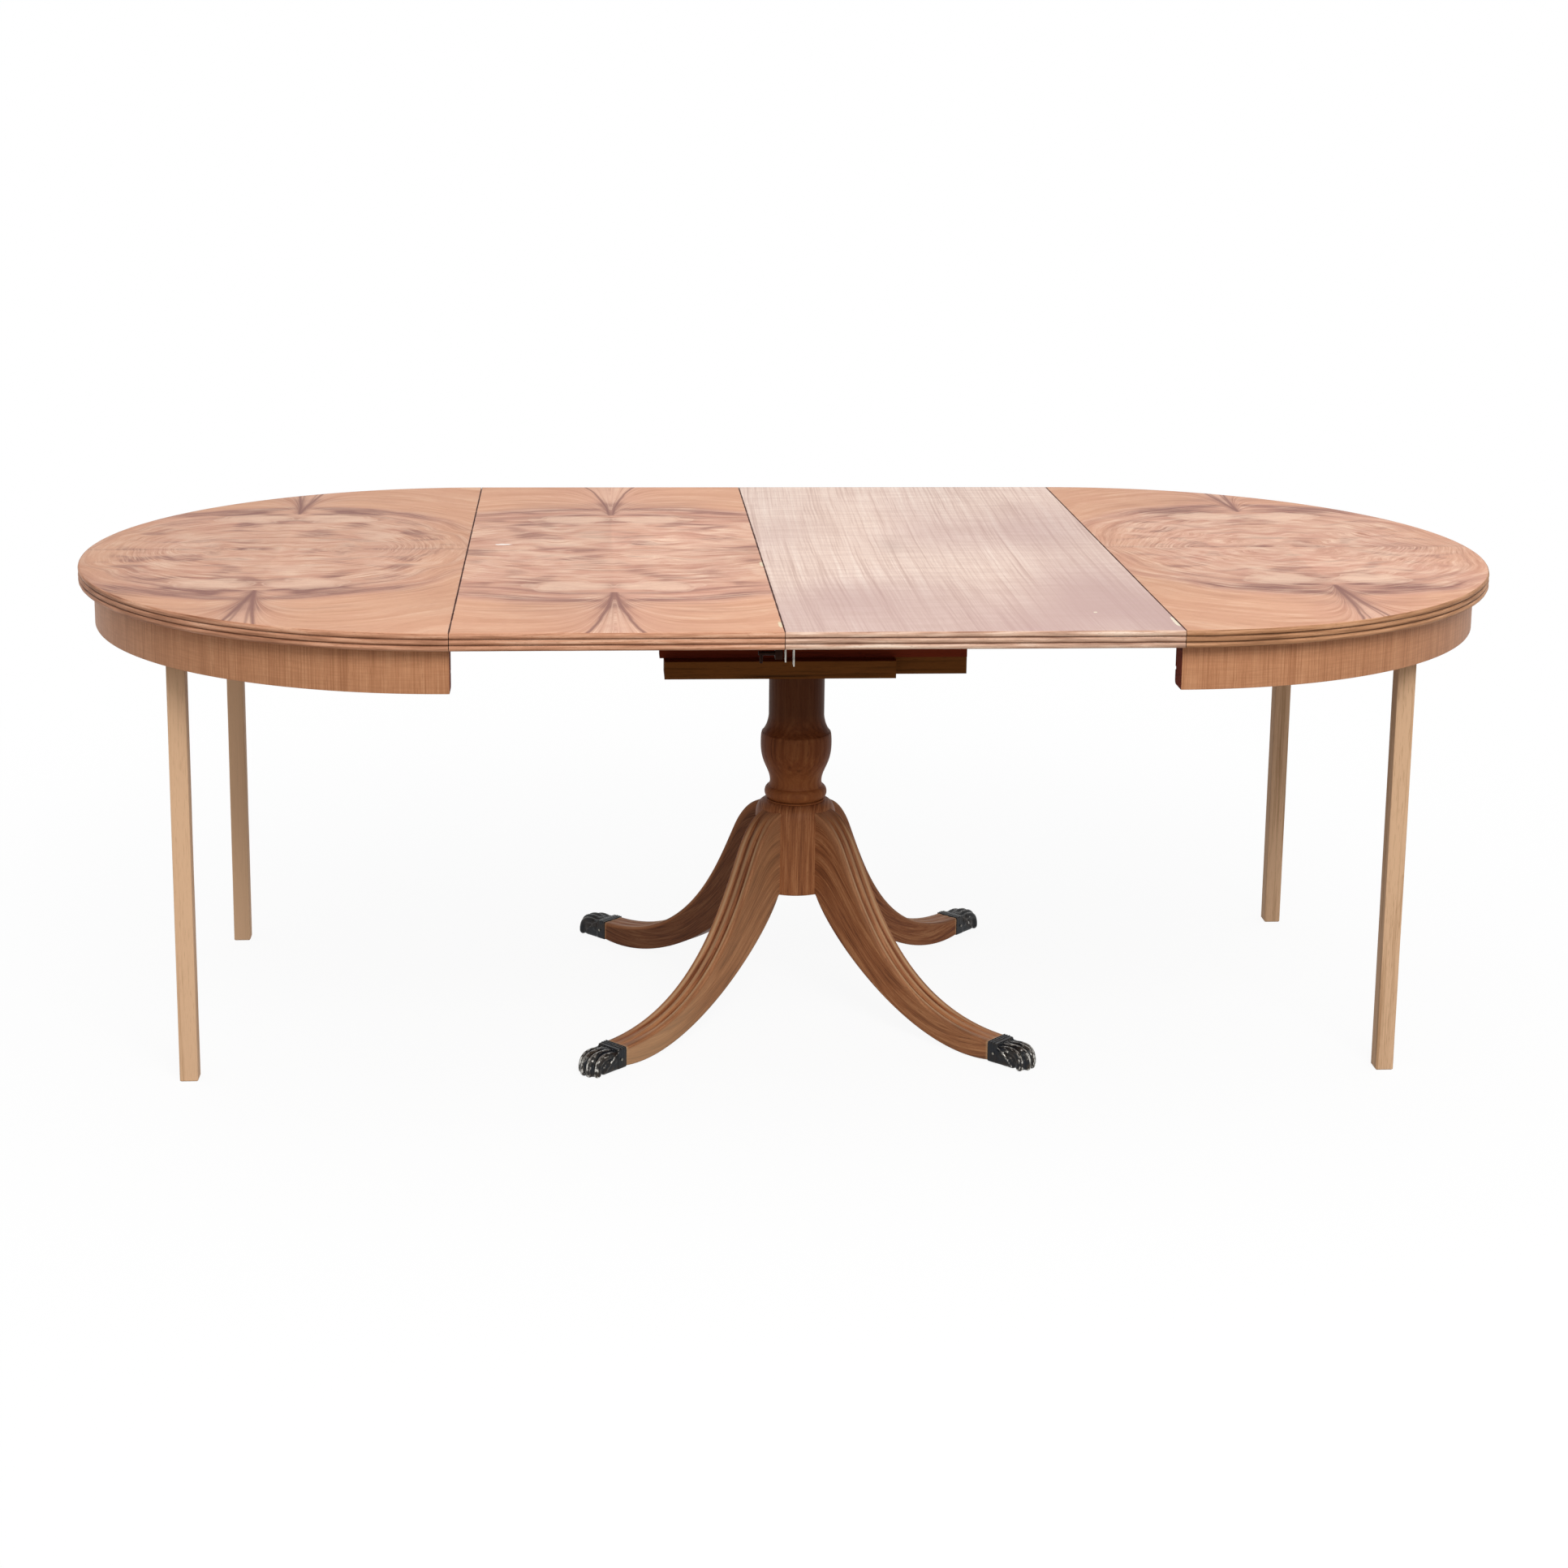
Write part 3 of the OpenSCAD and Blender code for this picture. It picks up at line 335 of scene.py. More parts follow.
def shape_wear(piece, gain, rounds=3):
    """Wear of each point from the shape: high on crests, low in hollows, smoothed over the neighbours."""
    shape = bmesh.new()
    shape.from_mesh(piece.data)
    shape.normal_update()
    shape.verts.ensure_lookup_table()
    near = [[edge.other_vert(vertex).index for edge in vertex.link_edges] for vertex in shape.verts]
    wear_and_painted_light = []
    for vertex, others in zip(shape.verts, near):
        middle = sum((shape.verts[i].co for i in others), Vector()) / len(others)
        wear_and_painted_light.append((vertex.co - middle).dot(vertex.normal) * gain)
    for _ in range(rounds):
        wear_and_painted_light = [(value + sum(wear_and_painted_light[i] for i in others)) / (1 + len(others)) for value, others in zip(wear_and_painted_light, near)]
    shape.free()
    return wear_and_painted_light


def settle(piece, body, slot, *nodes):
    """The piece rides on its body and stands for these nodes, which are hidden; the slot is not used."""
    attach(piece, body)
    if nodes:
        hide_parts(*nodes)


def baked(piece):
    """Turns a piece and its live modifiers into a plain mesh, and returns the piece."""
    graph = bpy.context.evaluated_depsgraph_get()
    plain = bpy.data.meshes.new_from_object(piece.evaluated_get(graph))
    old = piece.data
    piece.modifiers.clear()
    piece.data = plain
    bpy.data.meshes.remove(old)
    return piece


def repaint(node, material):
    """Gives a CAD node a finished material in every slot."""
    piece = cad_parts[node]
    for index in range(len(piece.material_slots)):
        piece.material_slots[index].material = material
    if not piece.material_slots:
        piece.data.materials.append(material)


def clamp(value, low=0.0, high=1.0):
    return max(low, min(high, value))


def ease(value, low, high):
    """0 below low, 1 above high, and a smooth rise between them."""
    t = clamp((value - low) / (high - low))
    return t * t * (3 - 2 * t)


def hill(value, middle, width):
    """A smooth bump of height 1 at the middle."""
    return math.exp(-((value - middle) / width) ** 2)


# The figure of the top

# Distances at which no stroke and no lobe of a plume shows
NO_STROKE, NO_LOBE = 0.05, 2.0


class Figure:
    """A quarter-matched panel of crotch veneer: long flat rings round its middle that gather into a plume each side."""

    # From a plume's tip out to the second dark line
    BAND = 0.058
    # Rings wider than the first of these crowd together at the rate of the second
    WIDEST, CROWDING = 0.42, 0.13
    # How far the lines have gathered at the two strokes of a plume
    GATHERED = (0.40, 0.62)
    # Rings with foci as near as the first of these are tightest about so far from the axis
    NEAR_FOCI, TIGHTEST = 0.20, 0.155

    def __init__(self, axis_x, middle_y, front_apex, rear_apex, ring_width, focus, seed, tint, burr, feather=0.028,
                 strokes=2):
        """Places and widths in metres; burr is the strength of the dark figure, feather the width of a plume."""
        self.axis_x = axis_x
        self.middle_y = middle_y
        self.front = middle_y - front_apex
        self.rear = rear_apex - middle_y
        self.ring_width = ring_width
        self.focus = focus
        self.seed = seed
        self.tint = tint
        self.burr = burr
        self.feather = feather
        self.strokes = strokes

    def ring(self, p, q, flat):
        """Half height of the ring through that spot, and how far round it the spot lies; all rings share their foci."""
        p *= math.hypot(flat, self.focus) / self.ring_width
        total = p * p + q * q - self.focus ** 2
        high = math.sqrt(max(0.0, (total + math.sqrt(total * total + (2 * self.focus * q) ** 2)) / 2))
        return high, math.acos(clamp(p / math.hypot(high, self.focus)))

    def at(self, x, y):
        """Growth line, dark, pale and golden parts, distances to the plume's strokes, and sheen of one spot."""
        u, v = x - self.axis_x, y - self.middle_y
        apex = self.front if v < 0 else self.rear
        flat = apex + self.BAND
        across, out = abs(u), abs(v)
        # Waver of the growth lines: nearly the same in the four quarters, as in matched leaves of veneer
        calm = ease(math.hypot(across, out), 0.10, 0.36)
        big = noise.noise_vector(Vector((across * 8.0, out * 8.0, self.seed)))
        loose = noise.noise_vector(Vector((u * 6.0, v * 6.0, self.seed + 5.0)))
        small = noise.noise_vector(Vector((across * 17.0, out * 22.0, self.seed + 9.0)))
        quiet = 1 - 0.8 * ease(out, apex - 0.02, apex + 0.06) * hill(across, 0.0, 0.12)
        swing, jitter = (0.034 - 0.016 * calm) * quiet, (0.0210 - 0.0175 * calm) * quiet
        jitter *= 1 - 0.88 * ease(across, 0.09, 0.16) * (1 - ease(out, 0.04, 0.14))
        p = abs(across + big.x * swing + loose.x * 0.012 + small.x * jitter)
        q = abs(out + big.y * swing * ease(out, 0.0, 0.08) + loose.y * 0.010 + small.y * jitter)
        ring, round_it = self.ring(p, q, flat)
        gather = 1.0 - math.exp(-(across + 0.0006) / self.feather)
        line = apex + (ring - apex) / gather if ring > apex else ring
        if line > self.WIDEST:
            line = self.WIDEST + self.CROWDING * math.log(1.0 + (line - self.WIDEST) / self.CROWDING)
        # Strokes of the plume: across, where the lines have gathered by so much
        reach = out - apex
        strokes = []
        for gathered in self.GATHERED:
            run = clamp(reach / gathered, 0.0, 0.97)
            strokes.append(across + 0.004 * big.x + self.feather * math.log(1.0 - run) if reach > 0
                           else NO_STROKE + math.hypot(across, reach))
        if self.strokes < 2:
            strokes[1] = NO_STROKE
        if v > 0:
            strokes = [1.4 * stroke for stroke in strokes]
        cloud = noise.noise(Vector((across * 10.0, out * 14.0, self.seed + 2.0)))
        speck = noise.noise(Vector((across * 17.0 + loose.x, out * 34.0 + small.x, self.seed + 6.0)))
        fleck = noise.noise(Vector((u * 11.0, v * 24.0 + 1.2 * small.y, self.seed + 4.0)))
        # Two dark lines run out from each plume: one from its tip, one that first dips towards the edge
        wing = ease(across, 0.004, 0.03) * (0.16 + 0.84 * hill(across, 0.06, 0.13))
        dark = (0.80 * hill(ring + 0.004 * cloud, apex + 0.002, 0.0085) * wing
                + 1.00 * hill(ring + 0.010 * cloud, flat, 0.0125) * wing
                + self.burr * hill(ring, flat - 0.030, 0.026) * hill(across, 0.11, 0.075) * clamp(0.25 + 2.4 * cloud)
                + self.burr * hill(ring, flat - 0.004, 0.020) * hill(across, 0.15, 0.06) * clamp(0.35 + 2.0 * fleck)
                + 0.55 * hill(ring, flat + 0.050, 0.035) * hill(across, 0.0, 0.19) * clamp(0.3 + 1.8 * cloud)
                + 0.70 * hill(ring, flat - 0.100, 0.040) * hill(across, 0.13, 0.09) * clamp(0.1 + 2.4 * speck))
        inside = 1 - ease(ring, apex - 0.05, apex + 0.01)
        dark += 0.34 * inside * clamp(3.2 * speck - 0.60) + 0.55 * inside * clamp(2.8 * fleck - 0.6)
        dark += 0.75 * hill(strokes[0], 0.0, 0.012) * ease(reach, -0.01, 0.02) * (1 - ease(reach, 0.06, 0.24))
        # A purple haze beside the front plume, where the burr is strongest
        haze = hill(u, -0.14, 0.11) * hill(v, 0.015 - self.front, 0.055)
        haze += 0.8 * hill(u, 0.13, 0.09) * hill(v, 0.020 - self.front, 0.030)
        dark += 2.6 * max(0.0, self.burr - 1) * haze * clamp(0.60 + 1.9 * cloud)
        # The joint between the leaves of veneer, with a smudge beside the middle
        dark += 0.34 * hill(v, 0.0, 0.0052) * ease(across, 0.0, 0.04)
        dark += 0.75 * hill(u, -0.042, 0.034) * hill(v - 0.004, 0.0, 0.011)
        dark += 0.22 * hill(u, 0.20, 0.09) * hill(out, 0.0, 0.05)
        # Two pale lobes beside the tip of each plume, and a red heart between them
        lobe = math.hypot((across - 0.066) / 0.056, (out - apex + 0.040) / 0.036)
        lobe += 0.45 * noise.noise(Vector((across * 34.0, out * 34.0, self.seed + 3.0)))
        pale = 1.05 * (1 - ease(lobe, 0.72, 1.05))
        dark *= 1 - 0.7 * (1 - ease(lobe, 0.80, 1.05))
        dark += 0.55 * hill(across, 0.0, 0.017) * hill(out, apex - 0.048, 0.024)
        pale += 1.0 * hill(across, 0.0, 0.15) * hill(out, 0.045, 0.06) * clamp(3.0 * speck + 0.10)
        pale += 0.70 * inside * clamp(2.8 * -fleck - 0.45) + 0.40 * inside * clamp(3.0 * -speck - 0.6)
        pale += 0.35 * ease(reach, 0.02, 0.08) * (strokes[0] < 0)
        gold = ease(line, flat + 0.010, flat + 0.050) * (1 - math.exp(-across / 0.07))
        gold += 0.5 * ease(across, 0.17, 0.27) * (1 - ease(out, 0.16, 0.34)) + 0.8 * max(0.0, self.burr - 1)
        sheen = self.tint + 0.30 * (1 if u > 0 else -1) * noise.noise(Vector((self.seed, v * 3.0, 1.0)))
        sheen += (0.20 if u > 0 else -0.20) + 0.55 * noise.noise(Vector((u * 5.0, v * 5.0, self.seed + 7.0)))
        # Where the rings are tightest the run round them is short, or their lines would break up into spokes
        away = math.hypot(across - self.TIGHTEST, out) if self.focus < self.NEAR_FOCI else 1.0
        run_round = 0.30 * round_it * ease(away, -0.03, 0.12)
        return ((run_round, line, self.seed),
                (clamp(dark * (0.70 + 0.45 * self.burr)), clamp(pale * (1.40 - 0.5 * self.burr)), clamp(gold)),
                (strokes[0], lobe, strokes[1]), sheen)


class PlainFigure:
    """The plain leaf: gently bowed lines from front to rear."""

    def at(self, x, y):
        """Growth line, grey, warm and smudged parts, no strokes, and sheen of one spot."""
        bow = 0.016 * math.cos(y * 2.2 + 0.4) + 0.008 * noise.noise(Vector((x * 2.0, y * 1.3, 7.0)))
        bow += 0.0010 * noise.noise(Vector((x * 12.0, y * 6.0, 3.0)))
        grey = ease(-y, 0.05, 0.50) * 0.75 + 0.30 * ease(x, 0.20, 0.50)
        grey += 0.70 * noise.noise(Vector((x * 6.0, y * 3.0, 11.0)))
        warm = (0.4 + 1.3 * noise.noise(Vector((x * 5.0, y * 3.4, 17.0)))) * (1 - ease(-y, 0.15, 0.50))
        smudge = hill(x, 0.165, 0.022) * hill(y, 0.030, 0.055)
        sheen = 0.5 * noise.noise(Vector((x * 5.0, y * 1.5, 19.0)))
        return ((y, x + bow, 0.0), (clamp(grey), clamp(warm), clamp(smudge)), (NO_STROKE, NO_LOBE, NO_STROKE), sheen)


FIGURES = {
    "left_end": Figure(axis_x=-0.801, middle_y=0.015, front_apex=-0.294, rear_apex=0.319, ring_width=0.330,
                       focus=0.190, seed=1.0, tint=-0.55, burr=1.35),
    "left_leaf": Figure(axis_x=-0.280, middle_y=0.000, front_apex=-0.319, rear_apex=0.306, ring_width=0.460,
                        focus=0.260, seed=23.0, tint=0.10, burr=1.00, feather=0.035, strokes=1),
    "right_end": Figure(axis_x=0.799, middle_y=0.020, front_apex=-0.281, rear_apex=0.331, ring_width=0.330,
                        focus=0.190, seed=41.0, tint=0.05, burr=0.95, feather=0.025),
    "right_leaf": PlainFigure(),
}
# Starts the noise vectors of every figure; without it they start from the clock
FIGURE_SEED = 58
SEAMS = {"left_end": (-JOINT_X,), "left_leaf": LEFT_LEAF_X, "right_leaf": RIGHT_LEAF_X, "right_end": (JOINT_X,)}


def draw_figure(piece, body):
    """Stores the figure's attributes on every point of a piece of the top."""
    noise.seed_set(FIGURE_SEED)
    drawing, seams = FIGURES[body], SEAMS[body]
    lines, shades, plumes, sheens, joints = [], [], [], [], []
    for vertex in piece.data.vertices:
        x, y, _ = vertex.co
        line, shade, plume, sheen = drawing.at(x, y)
        lines.append(line)
        shades.append(shade)
        plumes.append(plume)
        sheens.append(sheen)
        joints.append(min(abs(x - seam) for seam in seams))
    store(piece, "growth", "FLOAT_VECTOR", lines)
    store(piece, "shade", "FLOAT_VECTOR", shades)
    store(piece, "plume", "FLOAT_VECTOR", plumes)
    store(piece, "sheen", "FLOAT", sheens)
    store(piece, "joint", "FLOAT", joints)


def sheened(tree, shade, amount):
    """Lighter and darker leaves of veneer, as each one throws back the light its own way."""
    sheen = put(tree, "ShaderNodeAttribute", attribute_name="sheen").outputs["Fac"]
    bright = put(tree, "ShaderNodeMath", {0: sheen, 1: amount, 2: 1.0}, operation="MULTIPLY_ADD")
    return put(tree, "ShaderNodeVectorMath", {0: shade, "Scale": bright}, operation="SCALE").outputs["Vector"]


def grimed(tree, shade, place):
    """Ragged dirt along the open joints between the four parts of the top."""
    joint = put(tree, "ShaderNodeAttribute", attribute_name="joint").outputs["Fac"]
    ragged = put(tree, "ShaderNodeTexNoise", {"Vector": place, "Scale": 60.0, "Detail": 2.0})
    edge = put(tree, "ShaderNodeMath", {0: ragged, 1: 0.0016, 2: joint}, operation="MULTIPLY_ADD")
    dirt = put(tree, "ShaderNodeMapRange", {
        "Value": edge, "From Min": 0.0012, "From Max": 0.0020, "To Min": 0.90, "To Max": 0.0})
    return put(tree, "ShaderNodeMix", {
        "Factor": dirt.outputs["Result"], "A": shade, "B": linear("#4C2A22")}, data_type="RGBA").outputs["Result"]


def mended(tree, shade, place, spots, filler):
    """Pale filler or bare wood at these spots: (x, y, half length, half width, turn in degrees)."""
    ragged = put(tree, "ShaderNodeTexNoise", {"Vector": place, "Scale": 140.0, "Detail": 2.0})
    for x, y, half_length, half_width, turn in spots:
        local = put(tree, "ShaderNodeMapping", {
            "Vector": place, "Location": (x, y, TOP_Z), "Rotation": (0, 0, math.radians(turn)),
            "Scale": (half_length, half_width, 1.0)}, vector_type="TEXTURE")
        away = put(tree, "ShaderNodeVectorMath", {0: local}, operation="LENGTH")
        rough = put(tree, "ShaderNodeMath", {0: ragged, 1: 1.4, 2: away.outputs["Value"]}, operation="MULTIPLY_ADD")
        mask = put(tree, "ShaderNodeMapRange", {
            "Value": rough, "From Min": 1.55, "From Max": 1.85, "To Min": 0.9, "To Max": 0.0})
        shade = put(tree, "ShaderNodeMix", {
            "Factor": mask.outputs["Result"], "A": shade, "B": filler}, data_type="RGBA").outputs["Result"]
    return shade


def crotch_veneer(name, look):
    """Sanded crotch mahogany veneer: no shine, so its rings, pores and purple-brown plumes carry the eye."""
    material, tree, shader = new_material(name, 0.62, specular=0.3)
    growth = put(tree, "ShaderNodeAttribute", attribute_name="growth").outputs["Vector"]
    shade = put(tree, "ShaderNodeSeparateXYZ", {
        0: put(tree, "ShaderNodeAttribute", attribute_name="shade").outputs["Vector"]})
    plume = put(tree, "ShaderNodeSeparateXYZ", {
        0: put(tree, "ShaderNodeAttribute", attribute_name="plume").outputs["Vector"]})
    place = put(tree, "ShaderNodeTexCoord").outputs["Object"]
    line, band, pore = grained(tree, growth, along_mm=75, line_mm=6.0, band_mm=21, pore_mm=1.1, waver_mm=1.5, seed=2.0)
    mixed = put(tree, "ShaderNodeMix", {"Factor": 0.45, "A": line, "B": band}, data_type="FLOAT")
    # The growth lines show in some parts and fade in others
    fade = put(tree, "ShaderNodeTexNoise", {"Vector": place, "Scale": 11.0, "Detail": 3.0})
    gain = put(tree, "ShaderNodeMapRange", {
        "Value": fade, "From Min": 0.36, "From Max": 0.62, "To Min": 0.45, "To Max": 1.40})
    from_middle = put(tree, "ShaderNodeMath", {0: mixed.outputs["Result"], 1: 0.49}, operation="SUBTRACT")
    faded = put(tree, "ShaderNodeMath", {0: from_middle, 1: gain.outputs["Result"], 2: 0.49}, operation="MULTIPLY_ADD")
    tone = put(tree, "ShaderNodeValToRGB", {"Fac": faded},
               stops=[(0.375, look.veneer_deep), (0.49, look.veneer_mid), (0.605, look.veneer_pale)])
    # Pink and tan clouds over the whole leaf
    cloud = put(tree, "ShaderNodeTexNoise", {
        "Vector": place, "Scale": 11.0, "Detail": 5.0, "Roughness": 0.62, "Distortion": 1.3})
    clouds = put(tree, "ShaderNodeMapRange", {
        "Value": cloud, "From Min": 0.38, "From Max": 0.64, "To Min": 0.0, "To Max": 0.65})
    pinked = put(tree, "ShaderNodeMix", {
        "Factor": clouds.outputs["Result"], "A": tone.outputs["Color"], "B": linear("#CE9681")}, data_type="RGBA")
    gold = put(tree, "ShaderNodeMath", {0: shade.outputs["Z"], 1: 0.58}, operation="MULTIPLY")
    golden = put(tree, "ShaderNodeMix", {
        "Factor": gold, "A": pinked.outputs["Result"], "B": look.gold}, data_type="RGBA")
    pale = put(tree, "ShaderNodeMath", {0: shade.outputs["Y"], 1: 0.66}, operation="MULTIPLY")
    lit = put(tree, "ShaderNodeMix", {
        "Factor": pale, "A": golden.outputs["Result"], "B": look.veneer_pale}, data_type="RGBA")
    # The dark band takes its grain from the lines, so that it breaks up into streaks
    streak = put(tree, "ShaderNodeMapRange", {
        "Value": line, "From Min": 0.40, "From Max": 0.60, "To Min": 1.0, "To Max": 0.35})
    dark = put(tree, "ShaderNodeMath", {0: shade.outputs["X"], 1: streak.outputs["Result"]}, operation="MULTIPLY")
    drawn = put(tree, "ShaderNodeMix", {
        "Factor": dark, "A": lit.outputs["Result"], "B": look.plume}, data_type="RGBA").outputs["Result"]
    # The strokes of a plume: each attribute is the distance to one in metres
    wander = put(tree, "ShaderNodeTexNoise", {"Vector": place, "Scale": 16.0, "Detail": 2.0})
    for stroke, width, strength in (("X", 0.0052, 0.88), ("Z", 0.0036, 0.60)):
        shifted = put(tree, "ShaderNodeMath", {0: wander, 1: 0.005, 2: plume.outputs[stroke]},
                      operation="MULTIPLY_ADD")
        centred = put(tree, "ShaderNodeMath", {0: shifted, 1: 0.0025}, operation="SUBTRACT")
        distance = put(tree, "ShaderNodeMath", {0: centred}, operation="ABSOLUTE")
        mark = put(tree, "ShaderNodeMapRange", {
            "Value": distance, "From Min": 0.0, "From Max": width, "To Min": strength, "To Max": 0.0},
            interpolation_type="SMOOTHSTEP")
        drawn = put(tree, "ShaderNodeMix", {
            "Factor": mark.outputs["Result"], "A": drawn, "B": look.plume}, data_type="RGBA").outputs["Result"]
    # Pale outline of the lobes
    rim = put(tree, "ShaderNodeMath", {0: plume.outputs["Y"], 1: 1.0}, operation="SUBTRACT")
    rim_away = put(tree, "ShaderNodeMath", {0: rim}, operation="ABSOLUTE")
    rim_mask = put(tree, "ShaderNodeMapRange", {
        "Value": rim_away, "From Min": 0.0, "From Max": 0.10, "To Min": 0.42, "To Max": 0.0})
    outlined = put(tree, "ShaderNodeMix", {
        "Factor": rim_mask.outputs["Result"], "A": drawn, "B": look.veneer_pale}, data_type="RGBA")
    pored = with_pores(tree, outlined.outputs["Result"], pore, look.veneer_deep, 0.35)
    filled = mended(tree, sheened(tree, pored, 0.13), place, [(-0.452, 0.050, 0.013, 0.0055, 4)], linear("#FBF3EA"))
    chipped = mended(tree, filled, place, [
        (-0.0520, -0.540, 0.0035, 0.017, 0), (-0.0515, -0.115, 0.0030, 0.016, 0)], linear("#E9D9B8"))
    tree.links.new(grimed(tree, chipped, place), shader.inputs["Base Color"])
    relief = put(tree, "ShaderNodeMix", {"Factor": 0.5, "A": line, "B": pore}, data_type="FLOAT")
    lift = put(tree, "ShaderNodeBump", {"Height": relief.outputs["Result"], "Strength": 0.10, "Distance": 0.0003})
    tree.links.new(lift.outputs["Normal"], shader.inputs["Normal"])
    return material


def leaf_veneer(name, look):
    """Sanded straight-grained mahogany: dry and pale, with greyer patches towards the front."""
    material, tree, shader = new_material(name, 0.66, specular=0.3)
    growth = put(tree, "ShaderNodeAttribute", attribute_name="growth").outputs["Vector"]
    shade = put(tree, "ShaderNodeSeparateXYZ", {
        0: put(tree, "ShaderNodeAttribute", attribute_name="shade").outputs["Vector"]})
    place = put(tree, "ShaderNodeTexCoord").outputs["Object"]
    line, band, pore = grained(tree, growth, along_mm=420, line_mm=3.4, band_mm=14, pore_mm=1.1, waver_mm=2.6, seed=6.0)
    mixed = put(tree, "ShaderNodeMix", {"Factor": 0.40, "A": line, "B": band}, data_type="FLOAT")
    tone = put(tree, "ShaderNodeValToRGB", {"Fac": mixed.outputs["Result"]},
               stops=[(0.33, look.leaf_deep), (0.49, look.leaf_mid), (0.65, look.leaf_pale)])
    grey = put(tree, "ShaderNodeMath", {0: shade.outputs["X"], 1: 0.85}, operation="MULTIPLY")
    greyed = put(tree, "ShaderNodeMix", {
        "Factor": grey, "A": tone.outputs["Color"], "B": linear("#C2A09B")}, data_type="RGBA")
    warm = put(tree, "ShaderNodeMath", {0: shade.outputs["Y"], 1: 0.20}, operation="MULTIPLY")
    warmed = put(tree, "ShaderNodeMix", {
        "Factor": warm, "A": greyed.outputs["Result"], "B": linear("#EED2BC")}, data_type="RGBA")
    dark = put(tree, "ShaderNodeMath", {0: shade.outputs["Z"], 1: 0.30}, operation="MULTIPLY")
    smudged = put(tree, "ShaderNodeMix", {
        "Factor": dark, "A": warmed.outputs["Result"], "B": linear("#A98F88")}, data_type="RGBA")
    # Faint ripple across the lines
    ripple = put(tree, "ShaderNodeTexNoise", {"Vector": put(tree, "ShaderNodeMapping", {
        "Vector": growth, "Scale": (62.0, 8.0, 8.0)}), "Scale": 1.0, "Detail": 3.0, "Roughness": 0.6})
    veil = put(tree, "ShaderNodeMapRange", {
        "Value": ripple, "From Min": 0.38, "From Max": 0.62, "To Min": 0.29, "To Max": 0.0})
    rippled = put(tree, "ShaderNodeMix", {
        "Factor": veil.outputs["Result"], "A": smudged.outputs["Result"], "B": look.leaf_deep}, data_type="RGBA")
    pored = with_pores(tree, rippled.outputs["Result"], pore, look.leaf_deep, 0.35)
    chipped = mended(tree, sheened(tree, pored, 0.10), place, [
        (0.5035, -0.535, 0.0030, 0.030, 0), (0.402, -0.470, 0.0030, 0.0040, 0)], linear("#EFE3CC"))
    tree.links.new(grimed(tree, chipped, place), shader.inputs["Base Color"])
    relief = put(tree, "ShaderNodeMix", {"Factor": 0.5, "A": line, "B": pore}, data_type="FLOAT")
    lift = put(tree, "ShaderNodeBump", {"Height": relief.outputs["Result"], "Strength": 0.10, "Distance": 0.0003})
    tree.links.new(lift.outputs["Normal"], shader.inputs["Normal"])
    return material


def lipping_wood(body):
    """Solid mahogany lipping, planed and rubbed: its grain follows the edge; the plain leaf's is paler."""
    look = bpy.context.scene.table_edge
    label, tones, seed = {
        "right_leaf": ("pale mahogany lipping, rubbed", (look.plain_pale, look.plain_mid, look.plain_deep), 33.0),
        "right_end": ("tan mahogany lipping, rubbed", (look.tan_pale, look.tan_mid, look.tan_deep), 23.0),
    }.get(body, ("mahogany lipping, rubbed", (look.pale, look.mid, look.deep), 3.0))
    return kept(label, lambda name: wood(
        name, *tones, attribute="grain", along_mm=70, line_mm=3.0, band_mm=14, waver_mm=1.0, roughness=0.6,
        seed=seed, spread=0.14))


def slide_wood():
    """Red-stained rough mahogany of slides, blocks and undersides: dull and dark."""
    look = bpy.context.scene.table_underframe
    return kept("red-stained mahogany, rough", lambda name: wood(
        name, look.slide, look.slide, look.slide_deep, along_mm=120, line_mm=4.0, band_mm=24, roughness=0.75,
        specular=0.15, seed=8.0, bump=0.3))


def bearer_wood():
    """Brown-stained rough mahogany of the bearers: a little lighter, with open grain."""
    look = bpy.context.scene.table_underframe
    return kept("brown-stained mahogany, rough", lambda name: wood(
        name, look.bearer, look.bearer, look.bearer_deep, along_mm=140, line_mm=4.0, band_mm=20, roughness=0.7,
        specular=0.15, seed=18.0, bump=0.3))


def half_disc(radius, low, high, rows, columns):
    """Points and faces of a half-round board standing out to +X from x = 0."""
    points, faces = [], []
    for i in range(rows + 1):
        turn = -math.pi / 2 + math.pi * i / rows
        for j in range(columns + 1):
            points.append((radius * math.cos(turn) * j / columns, radius * math.sin(turn), high))
    width = columns + 1
    for i in range(rows):
        for j in range(columns):
            a = i * width + j
            faces.append((a, a + 1, a + width + 1, a + width))
    rim = [i * width + columns for i in range(rows + 1)] + [i * width for i in range(rows - 1, 0, -1)]
    return add_sides(points, faces, rim, low)


def rectangle(x0, x1, y0, y1, low, high, cell):
    """Points and faces of a rectangular board with a grid on its upper face."""
    columns, rows = round((x1 - x0) / cell), round((y1 - y0) / cell)
    points, faces = [], []
    for i in range(rows + 1):
        for j in range(columns + 1):
            points.append((x0 + (x1 - x0) * j / columns, y0 + (y1 - y0) * i / rows, high))
    width = columns + 1
    for i in range(rows):
        for j in range(columns):
            a = i * width + j
            faces.append((a, a + 1, a + width + 1, a + width))
    rim = list(range(columns)) + [i * width + columns for i in range(rows)]
    rim += [rows * width + j for j in range(columns, 0, -1)] + [i * width for i in range(rows, 0, -1)]
    return add_sides(points, faces, rim, low)


def add_sides(points, faces, rim, low):
    """Closes a board below its upper face: a wall down from the rim, and one face underneath."""
    start = len(points)
    points.extend((points[index][0], points[index][1], low) for index in rim)
    count = len(rim)
    for i in range(count):
        k = (i + 1) % count
        faces.append((rim[i], start + i, start + k, rim[k]))
    faces.append(tuple(start + i for i in range(count - 1, -1, -1)))
    return points, faces


